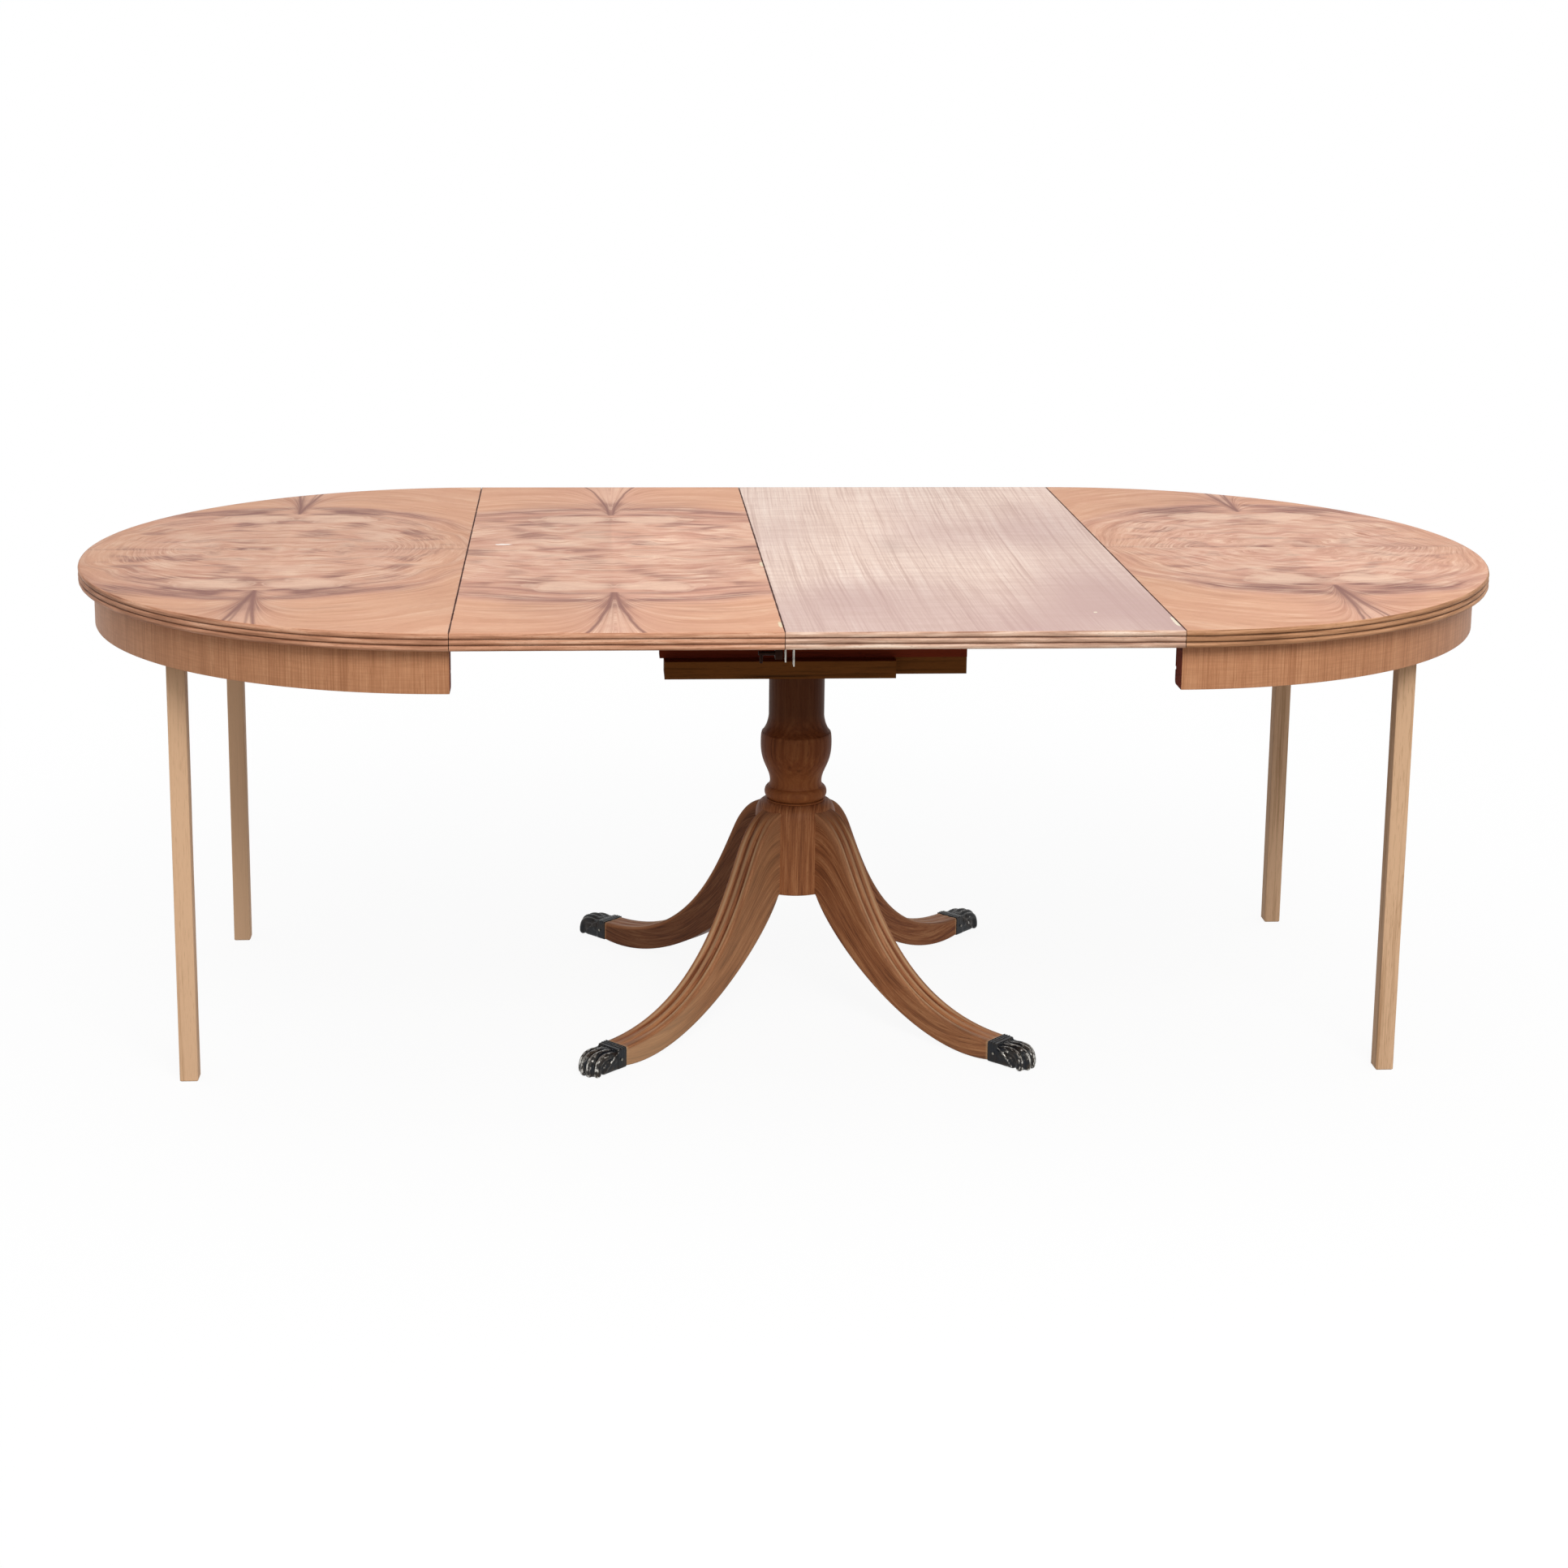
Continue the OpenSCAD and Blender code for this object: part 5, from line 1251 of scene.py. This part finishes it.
def paw_shape():
    """One paw in its leg's own plane: ridged socket, furry back, and four blunt toes that curl down to the floor."""
    shape = bmesh.new()
    start = LEG_END + 0.3
    block(shape, (start, -21.6, 3.0), (start + 18, 21.6, 34.4), 0.9)
    for k in range(3):
        block(shape, (start + 0.6 + k * 4.4, -21.9, 12.0), (start + 2.2 + k * 4.4, 21.9, 35.2), 0.5)
    # Body of the paw, full up to the toes
    block(shape, (start + 12, -20.8, 1.4), (start + 50, 20.8, 22.0), 5.0)
    blob(shape, (start + 24, 0, 17.0), (25, 21.6, 16.6))
    blob(shape, (start + 40, 0, 15.4), (24, 21.8, 16.6), tilt=10)
    blob(shape, (start + 54, 0, 11.0), (13.5, 20.8, 13.5))
    for k in range(4):
        lane = k - 1.5
        back, low = (6.5, 1.8) if k in (0, 3) else (0.0, 0.0)
        # A toe is a row of balls along its bone: over the knuckle, then steeply down
        for x, z in curve((24, 27.5), (53, 32.5), (66.0, 27.0), (64.0, 6.0), 22):
            ahead = clamp((x - 24) / 39)
            blob(shape, (start + x - back * ahead, lane * (10.4 + 0.2 * ahead), max(z - low, 6.0)), (6.3, 6.1, 6.1),
                 subdivisions=2)
        # Tufts of fur that run on to the toes
        for tuft in (-3.4, -0.2, 3.1):
            blob(shape, (start + 27 - abs(tuft) - back * 0.3, lane * 10.6 + tuft, 32.2 - low - abs(lane) * 0.7),
                 (10.0, 0.8, 2.4), tilt=-2)
            blob(shape, (start + 47 - abs(tuft) - back * 0.8, lane * 11.0 + tuft * 0.9, 31.4 - low - abs(tuft) * 0.5),
                 (8.5, 0.7, 2.2), tilt=26)
    for side in (-1, 1):
        for k in range(4):
            blob(shape, (start + 24 + k * 6, side * (21.6 - k * 0.2), 27 - k * 5.5), (8.5, 1.2, 1.6), tilt=26 + k * 7)
    return shape


def paw_mesh(look):
    """The cast paw as one skin, in its leg's own plane, in metres, and how far each point of it is rubbed."""
    shape = paw_shape()
    mesh = bpy.data.meshes.new("paw")
    shape.to_mesh(mesh)
    shape.free()
    mesh.transform(Matrix.Scale(MM, 4))
    rough = add_piece("paw", mesh)
    skin = rough.modifiers.new("Skin", "REMESH")
    skin.mode = "VOXEL"
    skin.voxel_size = look.voxel
    soft = rough.modifiers.new("Soft", "SMOOTH")
    soft.factor = 0.5
    soft.iterations = 3
    baked(rough)
    shaped = bmesh.new()
    shaped.from_mesh(rough.data)
    for vertex in shaped.verts:
        # Flat sole, and tool marks of the chaser
        vertex.co.z = max(vertex.co.z, 0.0)
        vertex.co += vertex.normal * 0.00022 * noise.noise(vertex.co * 900)
        vertex.co.z = max(vertex.co.z, 0.0)
        vertex.co.x = max(vertex.co.x, (LEG_END + 0.15) * MM)
    bmesh.ops.recalc_face_normals(shaped, faces=shaped.faces)
    shaped.to_mesh(rough.data)
    shaped.free()
    raised = shape_wear(rough, 1 / look.voxel)
    # What stands out more than nineteen places in twenty
    most = sorted(raised)[int(0.95 * len(raised))]
    rubbed = []
    for value, vertex in zip(raised, rough.data.vertices):
        (x, y, z), normal = vertex.co, vertex.normal
        ahead = ease(x / MM - LEG_END, 16.0, 34.0)
        # The crowns of the two inner and the two outer toes
        from_toe = min(abs(abs(y) / MM - toe) for toe in (5.4, 16.2))
        crown = hill(from_toe, 0.0, 3.0) * max(0.0, normal.z * 0.7 + normal.x * 0.8) * ahead
        # Fine hairs of the fur, which run towards the toes
        hair = noise.noise(Vector((x * 160, y * 900, z * 160)))
        rubbed.append(clamp(value / most * (0.35 + 0.45 * ahead) + 0.50 * crown + 0.9 * hair * ahead, -2.0, 2.0))
    return rough, rubbed


def patinated_brass(name, look):
    """Cast brass under a black glossy patina, rubbed through to pale metal on toes and fur."""
    material, tree, shader = new_material(name, 0.3, specular=0.24)
    high = put(tree, "ShaderNodeAttribute", attribute_name="rubbed").outputs["Fac"]
    place = put(tree, "ShaderNodeTexCoord").outputs["Object"]
    cloud = put(tree, "ShaderNodeTexNoise", {"Vector": place, "Scale": 170.0, "Detail": 4.0, "Roughness": 0.65})
    tint = put(tree, "ShaderNodeTexNoise", {"Vector": place, "Scale": 60.0, "Detail": 2.0})
    worn_at = put(tree, "ShaderNodeMath", {0: cloud, 1: 3.0, 2: high}, operation="MULTIPLY_ADD")
    mask = put(tree, "ShaderNodeMapRange", {
        "Value": worn_at, "From Min": 2.25, "From Max": 2.70, "To Min": 0.0, "To Max": 0.9})
    hue = put(tree, "ShaderNodeValToRGB", {"Fac": tint},
              stops=[(0.38, linear("#14181F")), (0.52, look.patina), (0.64, linear("#261C16"))])
    browned = put(tree, "ShaderNodeMapRange", {
        "Value": high, "From Min": 0.15, "From Max": 1.3, "To Min": 0.0, "To Max": 0.6})
    toned = put(tree, "ShaderNodeMix", {
        "Factor": browned.outputs["Result"], "A": hue.outputs["Color"], "B": linear("#5E5449")}, data_type="RGBA")
    shade = put(tree, "ShaderNodeMix", {
        "Factor": mask.outputs["Result"], "A": toned.outputs["Result"], "B": look.brass}, data_type="RGBA")
    tree.links.new(shade.outputs["Result"], shader.inputs["Base Color"])
    tree.links.new(mask.outputs["Result"], shader.inputs["Metallic"])
    rough = put(tree, "ShaderNodeMapRange", {
        "Value": cloud, "From Min": 0.3, "From Max": 0.7, "To Min": 0.22, "To Max": 0.42})
    tree.links.new(rough.outputs["Result"], shader.inputs["Roughness"])
    lift = put(tree, "ShaderNodeBump", {"Height": cloud, "Strength": 0.25, "Distance": 0.0003})
    tree.links.new(lift.outputs["Normal"], shader.inputs["Normal"])
    return material


class TABLE_OT_paw_caps(bpy.types.Operator):
    """Casts the four paw caps"""
    bl_idname = "table.paw_caps"
    bl_label = "Paw caps"

    def execute(self, context):
        look = context.scene.table_paw
        material = kept("patinated cast brass", lambda name: patinated_brass(name, look))
        pattern, rubbed = paw_mesh(look)
        for place, turn in LEG_TURNS.items():
            dull = CAP_PAINTED_SHADE[place]
            mesh = pattern.data.copy()
            mesh.transform(Matrix.Translation((COLUMN_X, 0, 0)) @ Matrix.Rotation(math.radians(turn), 4, "Z"))
            cap = add_piece("paw_cap_%s_cast" % place, mesh)
            # Painted shade: the rear caps' rubbed metal is cut back by their amount
            store(cap, "rubbed", "FLOAT", [value - dull for value in rubbed])
            mesh.polygons.foreach_set("use_smooth", [True] * len(mesh.polygons))
            mesh.materials.clear()
            mesh.materials.append(material)
            settle(cap, "pedestal", "patinated_brass", "paw_cap_" + place)
        bpy.data.objects.remove(pattern)
        return {"FINISHED"}


# Straight legs, slides and hardware

# Painted light on each straight leg, most on the rear left one in the table's shade; a negative amount paints a little
# shade
PROP_PAINTED_LIGHT = {"left_front": 0.42, "left_rear": 1.00, "right_front": -0.08, "right_rear": 0.20}


def square_leg(name, low, high):
    """A square leg with softened, slightly bruised arrises and a small bevel round its foot."""
    middle_x, middle_y = (low[0] + high[0]) / 2, (low[1] + high[1]) / 2
    half = (high[0] - low[0]) / 2
    # Softening of the arrises, bevel round the foot, and the height from which the rows are even
    soft, bevel, even_from = 0.0011, 0.0015, 0.004
    corner = [(half, half - soft), (half - soft * 0.3, half - soft * 0.3), (half - soft, half)]
    outline = []
    for quarter in range(4):
        c, s = round(math.cos(quarter * math.pi / 2)), round(math.sin(quarter * math.pi / 2))
        outline += [(c * x - s * y, s * x + c * y) for x, y in corner]
        a, b = corner[-1], (-corner[0][1], corner[0][0])
        outline += [(c * (a[0] + (b[0] - a[0]) * t) - s * half, s * (a[0] + (b[0] - a[0]) * t) + c * half)
                    for t in (0.25, 0.5, 0.75)]
    heights = [0.0, bevel, even_from] + [even_from + (high[2] - even_from) * i / 60 for i in range(1, 61)]
    points, faces = [], []
    for row, z in enumerate(heights):
        inset = 1 - (bevel / half if row == 0 else 0.0)
        for x, y in outline:
            bruise = 1 - 0.012 * max(0.0, noise.noise(Vector((middle_x * 9 + x * 30, middle_y * 9 + y * 30, z * 16))))
            points.append((middle_x + x * inset * bruise, middle_y + y * inset * bruise, z))
    count = len(outline)
    for row in range(len(heights) - 1):
        for j in range(count):
            k = (j + 1) % count
            faces.append((row * count + j, row * count + k, (row + 1) * count + k, (row + 1) * count + j))
    faces.append(tuple(range(count - 1, -1, -1)))
    faces.append(tuple((len(heights) - 1) * count + j for j in range(count)))
    piece = mesh_object(name, points, faces)
    crease(piece, 30)
    return piece


class TABLE_OT_straight_legs(bpy.types.Operator):
    """Shapes the four square support legs and paints their blocks"""
    bl_idname = "table.straight_legs"
    bl_label = "Straight legs"

    def execute(self, context):
        look = context.scene.table_underframe
        # Planed pale hardwood, never polished: dry, with handling dirt in its grain
        material = kept("pale hardwood, bare", lambda name: wood(
            name, look.prop_pale, look.prop_pale, look.prop_deep, turn=(0, math.radians(90), 0), along_mm=180,
            line_mm=3.4, band_mm=16, waver_mm=1.6, roughness=0.66, seed=9.0))
        for body in ("left_end", "right_end"):
            side = body.split("_")[0]
            for row in ("front", "rear"):
                node = "%s_prop_%s" % (side, row)
                leg = square_leg(node + "_planed", *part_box(node))
                leg.data.materials.append(material)
                store(leg, "wear_and_painted_light", "FLOAT", [PROP_PAINTED_LIGHT["%s_%s" % (side, row)]] * len(leg.data.vertices))
                settle(leg, body, "support_leg_wood", node)
            repaint(side + "_prop_blocks", material)
        return {"FINISHED"}


def plated_steel(name, shade, roughness, brushed):
    """Plated or bare steel, with fine rubbing marks and a little tarnish."""
    material, tree, shader = new_material(name, roughness, metallic=1.0)
    place = put(tree, "ShaderNodeTexCoord").outputs["Object"]
    marks = put(tree, "ShaderNodeTexNoise", {"Vector": put(tree, "ShaderNodeMapping", {
        "Vector": place, "Scale": brushed}), "Scale": 1.0, "Detail": 3.0})
    tarnish = put(tree, "ShaderNodeTexNoise", {"Vector": place, "Scale": 120.0, "Detail": 4.0})
    dull = tuple(c * 0.45 for c in shade[:3]) + (1.0,)
    tone = put(tree, "ShaderNodeMapRange", {
        "Value": tarnish, "From Min": 0.42, "From Max": 0.66, "To Min": 0.0, "To Max": 0.7})
    mixed = put(tree, "ShaderNodeMix", {"Factor": tone.outputs["Result"], "A": shade, "B": dull}, data_type="RGBA")
    tree.links.new(mixed.outputs["Result"], shader.inputs["Base Color"])
    rough = put(tree, "ShaderNodeMapRange", {
        "Value": marks, "From Min": 0.3, "From Max": 0.7, "To Min": roughness - 0.08, "To Max": roughness + 0.12})
    tree.links.new(rough.outputs["Result"], shader.inputs["Roughness"])
    return material


def screw_tree():
    """A tree that sets a slotted, countersunk screw head on every point of the object, facing its own way."""
    tree = bpy.data.node_groups.new("Slotted screws", "GeometryNodeTree")
    face = tree.interface
    face.new_socket("Points", in_out="INPUT", socket_type="NodeSocketGeometry")
    for name in ("Head radius", "Head depth", "Slot width"):
        face.new_socket(name, in_out="INPUT", socket_type="NodeSocketFloat")
    face.new_socket("Turn seed", in_out="INPUT", socket_type="NodeSocketInt")
    face.new_socket("Steel", in_out="INPUT", socket_type="NodeSocketMaterial")
    face.new_socket("Geometry", in_out="OUTPUT", socket_type="NodeSocketGeometry")
    given = put(tree, "NodeGroupInput").outputs
    head = put(tree, "GeometryNodeMeshCone", {
        "Vertices": 28, "Radius Top": given["Head radius"], "Depth": given["Head depth"],
        "Radius Bottom": put(tree, "ShaderNodeMath", {0: given["Head radius"], 1: 0.5}, operation="MULTIPLY")})
    slot_size = put(tree, "ShaderNodeCombineXYZ", {
        0: put(tree, "ShaderNodeMath", {0: given["Head radius"], 1: 3.0}, operation="MULTIPLY"),
        1: given["Slot width"], 2: given["Head depth"]})
    slot = put(tree, "GeometryNodeMeshCube", {"Size": slot_size})
    raised = put(tree, "GeometryNodeTransform", {"Geometry": slot, "Translation": put(
        tree, "ShaderNodeCombineXYZ", {2: put(tree, "ShaderNodeMath", {
            0: given["Head depth"], 1: 1.05}, operation="MULTIPLY")})})
    cut = put(tree, "GeometryNodeMeshBoolean", {"Mesh 1": head.outputs["Mesh"], "Mesh 2": raised},
              operation="DIFFERENCE", solver="EXACT")
    facing = put(tree, "GeometryNodeInputNamedAttribute", {"Name": "facing"}, data_type="FLOAT_VECTOR")
    aligned = put(tree, "FunctionNodeAlignRotationToVector", {"Vector": facing.outputs["Attribute"]}, axis="Z")
    chance = put(tree, "FunctionNodeRandomValue", {
        "Min": 0.0, "Max": math.pi, "Seed": given["Turn seed"]}, data_type="FLOAT")
    spin = put(tree, "FunctionNodeAxisAngleToRotation", {"Axis": (0.0, 0.0, 1.0), "Angle": chance.outputs["Value"]})
    facing_turn = put(tree, "FunctionNodeRotateRotation", {
        "Rotation": aligned, "Rotate By": spin}, rotation_space="LOCAL")
    heads = put(tree, "GeometryNodeInstanceOnPoints", {
        "Points": given["Points"], "Instance": cut.outputs["Mesh"], "Rotation": facing_turn})
    real = put(tree, "GeometryNodeRealizeInstances", {"Geometry": heads})
    shown = put(tree, "GeometryNodeSetMaterial", {"Geometry": real, "Material": given["Steel"]})
    put(tree, "NodeGroupOutput", {"Geometry": shown})
    return tree


def solids_of(node):
    """The box of each separate solid of a CAD node, from a merged copy of its mesh."""
    shape = bmesh.new()
    shape.from_mesh(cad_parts[node].data)
    bmesh.ops.remove_doubles(shape, verts=shape.verts, dist=SAME_SPOT)
    shape.verts.ensure_lookup_table()
    seen, boxes = set(), []
    for first in shape.verts:
        if first.index in seen:
            continue
        seen.add(first.index)
        stack, group = [first], []
        while stack:
            vertex = stack.pop()
            group.append(vertex.co.copy())
            for edge in vertex.link_edges:
                other = edge.other_vert(vertex)
                if other.index not in seen:
                    seen.add(other.index)
                    stack.append(other)
        boxes.append((Vector([min(p[i] for p in group) for i in range(3)]),
                      Vector([max(p[i] for p in group) for i in range(3)])))
    shape.free()
    return boxes


def screw_set(name, body, tree, steel, spots, radius, depth, slot, seed, material_slot, nodes):
    """Screw heads of one body at (place, facing) spots, as one plain mesh."""
    mesh = bpy.data.meshes.new(name)
    mesh.from_pydata([tuple(place - facing * depth / 2) for place, facing in spots], [], [])
    piece = add_piece(name, mesh)
    store(piece, "facing", "FLOAT_VECTOR", [tuple(facing) for _, facing in spots])
    modifier = piece.modifiers.new("Screws", "NODES")
    modifier.node_group = tree
    fill_inputs(modifier, Head_radius=radius, Head_depth=depth, Slot_width=slot, Turn_seed=seed, Steel=steel)
    baked(piece)
    crease(piece, 30)
    settle(piece, body, material_slot, *nodes)


class TABLE_OT_screws(bpy.types.Operator):
    """Sets slotted screws wherever the frame has one"""
    bl_idname = "table.screws"
    bl_label = "Screws"

    def execute(self, context):
        tree = screw_tree()
        steel = kept("wood screw steel, dull", lambda name: plated_steel(
            name, linear("#8F8A80"), 0.42, (300.0, 300.0, 300.0)))
        bright = kept("nickel-plated screw", lambda name: plated_steel(
            name, linear("#9A958A"), 0.35, (300.0, 300.0, 300.0)))
        down = Vector((0.0, 0.0, -1.0))
        below = {"pedestal": ("bearer_screws", "hub_plate_screws"), "left_end": ("left_slide_screws",),
                 "right_end": ("right_slide_screws",), "left_leaf": ("left_leaf_screws",),
                 "right_leaf": ("right_leaf_screws",)}
        for seed, (body, nodes) in enumerate(below.items()):
            spots = []
            for node in nodes:
                for low, high in solids_of(node):
                    spots.append((Vector(((low.x + high.x) / 2, (low.y + high.y) / 2, low.z)), down))
            screw_set(body + "_screws_slotted", body, tree, steel, spots, radius=0.0044, depth=0.003, slot=0.0011,
                      seed=seed, material_slot="screw_steel", nodes=nodes)
        spots = []
        for low, high in solids_of("paw_cap_screws"):
            middle = (low + high) / 2 - Vector((COLUMN_X, 0.0, 0.0))
            turn = min(LEG_TURNS.values(), key=lambda t: abs(math.remainder(
                math.atan2(middle.y, middle.x) - math.radians(t), 2 * math.pi)))
            along = Vector((math.cos(math.radians(turn)), math.sin(math.radians(turn)), 0.0))
            across = Vector((-along.y, along.x, 0.0))
            facing = across if middle.dot(across) > 0 else -across
            # On the cheek of the cap, a little proud of it
            spots.append((Vector((COLUMN_X, 0, middle.z)) + along * middle.dot(along) + facing * 0.0223, facing))
        screw_set("paw_cap_screws_slotted", "pedestal", tree, bright, spots, radius=0.0019, depth=0.0016,
                  slot=0.0006, seed=9, material_slot="bright_metal", nodes=("paw_cap_screws",))
        return {"FINISHED"}


class TABLE_OT_underframe(bpy.types.Operator):
    """Paints bearers, slides, blocks, battens and the steel fittings"""
    bl_idname = "table.underframe"
    bl_label = "Underframe and fittings"

    def execute(self, context):
        slides, bearers = slide_wood(), bearer_wood()
        for node in ("head_block", "centre_slide_front", "centre_slide_rear", "stop_blocks", "left_end_apron_blocks",
                     "right_end_apron_blocks", "left_slide_front", "left_slide_rear", "right_slide_front",
                     "right_slide_rear", "left_leaf_battens", "right_leaf_battens"):
            repaint(node, slides)
        for node in ("bearer_front", "bearer_rear", "bearer_facings"):
            repaint(node, bearers)
        steel = kept("mild steel, dull", lambda name: plated_steel(
            name, linear("#7E7A72"), 0.45, (90.0, 900.0, 900.0)))
        for node in ("hub_plate", "left_stop_pegs", "right_stop_pegs", "left_prop_bolts", "right_prop_bolts"):
            repaint(node, steel)
        # Dark brown steel for the leaf bolts and their guides
        browned = kept("browned steel bolt", lambda name: plated_steel(
            name, linear("#2A1A15"), 0.6, (90.0, 900.0, 900.0)))
        for node in ("leaf_bolt_front", "leaf_bolt_rear", "bolt_guides"):
            repaint(node, browned)
        # Zinc-plated keeper, rubbed bright by the bolt
        repaint("keepers", kept("zinc-plated keeper", lambda name: plated_steel(
            name, linear("#CFCBC2"), 0.32, (900.0, 90.0, 900.0))))
        return {"FINISHED"}


# Stage

def white_where_seen(tree):
    """1 for camera, glossy and transmission rays, else 0."""
    path = put(tree, "ShaderNodeLightPath").outputs
    seen = put(tree, "ShaderNodeMath", {0: path["Is Camera Ray"], 1: path["Is Glossy Ray"]}, operation="MAXIMUM")
    return put(tree, "ShaderNodeMath", {0: seen, 1: path["Is Transmission Ray"]}, operation="MAXIMUM")


def floor_material():
    """Matt pale floor: the camera sees it nearly white round the table, with a soft shadow, and white far off."""
    material = bpy.data.materials.new("pale floor, matt")
    material.use_nodes = True
    tree = material.node_tree
    tree.nodes.clear()
    matt = put(tree, "ShaderNodeBsdfDiffuse", {"Color": linear("#9C968E")})
    bright = put(tree, "ShaderNodeBsdfDiffuse", {"Color": (0.95, 0.95, 0.95, 1.0)})
    glow = put(tree, "ShaderNodeEmission", {"Color": (1.0, 1.0, 1.0, 1.0), "Strength": 1.0})
    place = put(tree, "ShaderNodeTexCoord").outputs["Object"]
    away = put(tree, "ShaderNodeVectorMath", {0: place}, operation="LENGTH").outputs["Value"]
    glowing = put(tree, "ShaderNodeMapRange", {
        "Value": away, "From Min": 1.0, "From Max": 2.6, "To Min": 0.92, "To Max": 1.0},
        interpolation_type="SMOOTHSTEP")
    seen = put(tree, "ShaderNodeMixShader", {0: glowing.outputs["Result"], 1: bright, 2: glow})
    shown = put(tree, "ShaderNodeMixShader", {0: white_where_seen(tree), 1: matt, 2: seen})
    put(tree, "ShaderNodeOutputMaterial", {"Surface": shown})
    return material


def area_light(name, place, target, size, power, shade):
    """A square area light that looks at a target."""
    lamp = bpy.data.lights.new(name, "AREA")
    lamp.shape = "SQUARE"
    lamp.size = size
    lamp.energy = power
    lamp.color = shade
    holder = add_piece(name, lamp)
    holder.location = place
    holder.rotation_euler = (Vector(target) - Vector(place)).to_track_quat("-Z", "Y").to_euler()


class TABLE_OT_stage(bpy.types.Operator):
    """Sets the floor, the soft light and the camera"""
    bl_idname = "table.stage"
    bl_label = "Floor, light and camera"

    def execute(self, context):
        look = context.scene.table_stage
        scene = context.scene
        half = 60.0
        floor = mesh_object("floor", [(-half, -half, 0), (half, -half, 0), (half, half, 0), (-half, half, 0)],
                            [(0, 1, 2, 3)], smooth=False)
        for face in floor.data.polygons:
            if face.normal.z < 0:
                floor.data.flip_normals()
        # A hair under the soles, so that no face lies in another
        floor.location = (0.0, 0.0, -0.0002)
        floor.data.materials.append(floor_material())
        world = bpy.data.worlds.new("even sky")
        world.use_nodes = True
        tree = world.node_tree
        tree.nodes.clear()
        # Light falls off from the zenith to the horizon, as under an even cloud
        height = put(tree, "ShaderNodeSeparateXYZ", {0: put(tree, "ShaderNodeTexCoord").outputs["Generated"]})
        strength = put(tree, "ShaderNodeMapRange", {
            "Value": height.outputs["Z"], "From Min": 0.0, "From Max": 1.0, "To Min": look.sky_low,
            "To Max": look.sky_high})
        soft = put(tree, "ShaderNodeBackground", {
            "Color": (0.97, 0.98, 1.0, 1.0), "Strength": strength.outputs["Result"]})
        plain = put(tree, "ShaderNodeBackground", {"Color": (1.0, 1.0, 1.0, 1.0), "Strength": 1.0})
        mixed = put(tree, "ShaderNodeMixShader", {0: white_where_seen(tree), 1: soft, 2: plain})
        put(tree, "ShaderNodeOutputWorld", {"Surface": mixed})
        scene.world = world
        area_light("front light", (0.9, -4.6, 4.2), (0.0, 0.0, 0.45), 2.6, look.front, (1.0, 0.975, 0.94))
        # Camera solved from the photograph: width, focal length and height of its middle in pixels, turns in radians
        photo_px, focal_px, middle_px = 1932, 3335.3, 700.0
        pitch, roll, yaw = 0.1983, 0.0116, 0.0729
        forward = Vector((math.sin(yaw) * math.cos(pitch), math.cos(yaw) * math.cos(pitch), -math.sin(pitch)))
        right = Vector((math.cos(yaw), -math.sin(yaw), 0.0))
        up = right.cross(forward)
        across = right * math.cos(roll) + up * math.sin(roll)
        above = up * math.cos(roll) - right * math.sin(roll)
        lens = bpy.data.cameras.new("camera")
        lens.sensor_width = 36.0
        lens.lens = focal_px * lens.sensor_width / photo_px
        lens.shift_y = (middle_px - photo_px / 2) / photo_px
        lens.clip_end = 200.0
        camera = add_piece("camera", lens)
        turned_to = Matrix((across, above, -forward)).transposed()
        camera.matrix_world = Matrix.Translation((-0.3149, -4.1922, 1.5572)) @ turned_to.to_4x4()
        scene.camera = camera
        scene.view_settings.view_transform = "Standard"
        return {"FINISHED"}


STEPS = (TABLE_OT_top, TABLE_OT_edges, TABLE_OT_aprons, TABLE_OT_column, TABLE_OT_sabre_legs, TABLE_OT_paw_caps,
         TABLE_OT_straight_legs, TABLE_OT_underframe, TABLE_OT_screws, TABLE_OT_stage)


class TABLE_PT_sidebar(bpy.types.Panel):
    """Lists the table's pieces and their looks"""
    bl_idname = "TABLE_PT_sidebar"
    bl_label = "Dining table"
    bl_space_type = "VIEW_3D"
    bl_region_type = "UI"
    bl_category = "Dining table"

    def draw(self, context):
        for step in STEPS:
            self.layout.operator(step.bl_idname, text=step.bl_label)
        for name, group in LOOKS.items():
            box = self.layout.box()
            for field in group.__annotations__:
                box.prop(getattr(context.scene, name), field)


def register():
    for group in LOOKS.values():
        bpy.utils.register_class(group)
    for step in STEPS:
        bpy.utils.register_class(step)
    bpy.utils.register_class(TABLE_PT_sidebar)
    for name, group in LOOKS.items():
        setattr(bpy.types.Scene, name, bpy.props.PointerProperty(type=group))


def unregister():
    for name in LOOKS:
        delattr(bpy.types.Scene, name)
    bpy.utils.unregister_class(TABLE_PT_sidebar)
    for step in reversed(STEPS):
        bpy.utils.unregister_class(step)
    for group in reversed(list(LOOKS.values())):
        bpy.utils.unregister_class(group)


def main():
    register()
    bpy.ops.table.top()
    bpy.ops.table.edges()
    bpy.ops.table.aprons()
    bpy.ops.table.column()
    bpy.ops.table.sabre_legs()
    bpy.ops.table.paw_caps()
    bpy.ops.table.straight_legs()
    bpy.ops.table.underframe()
    bpy.ops.table.screws()
    bpy.ops.table.stage()


if __name__ == "__main__":
    main()
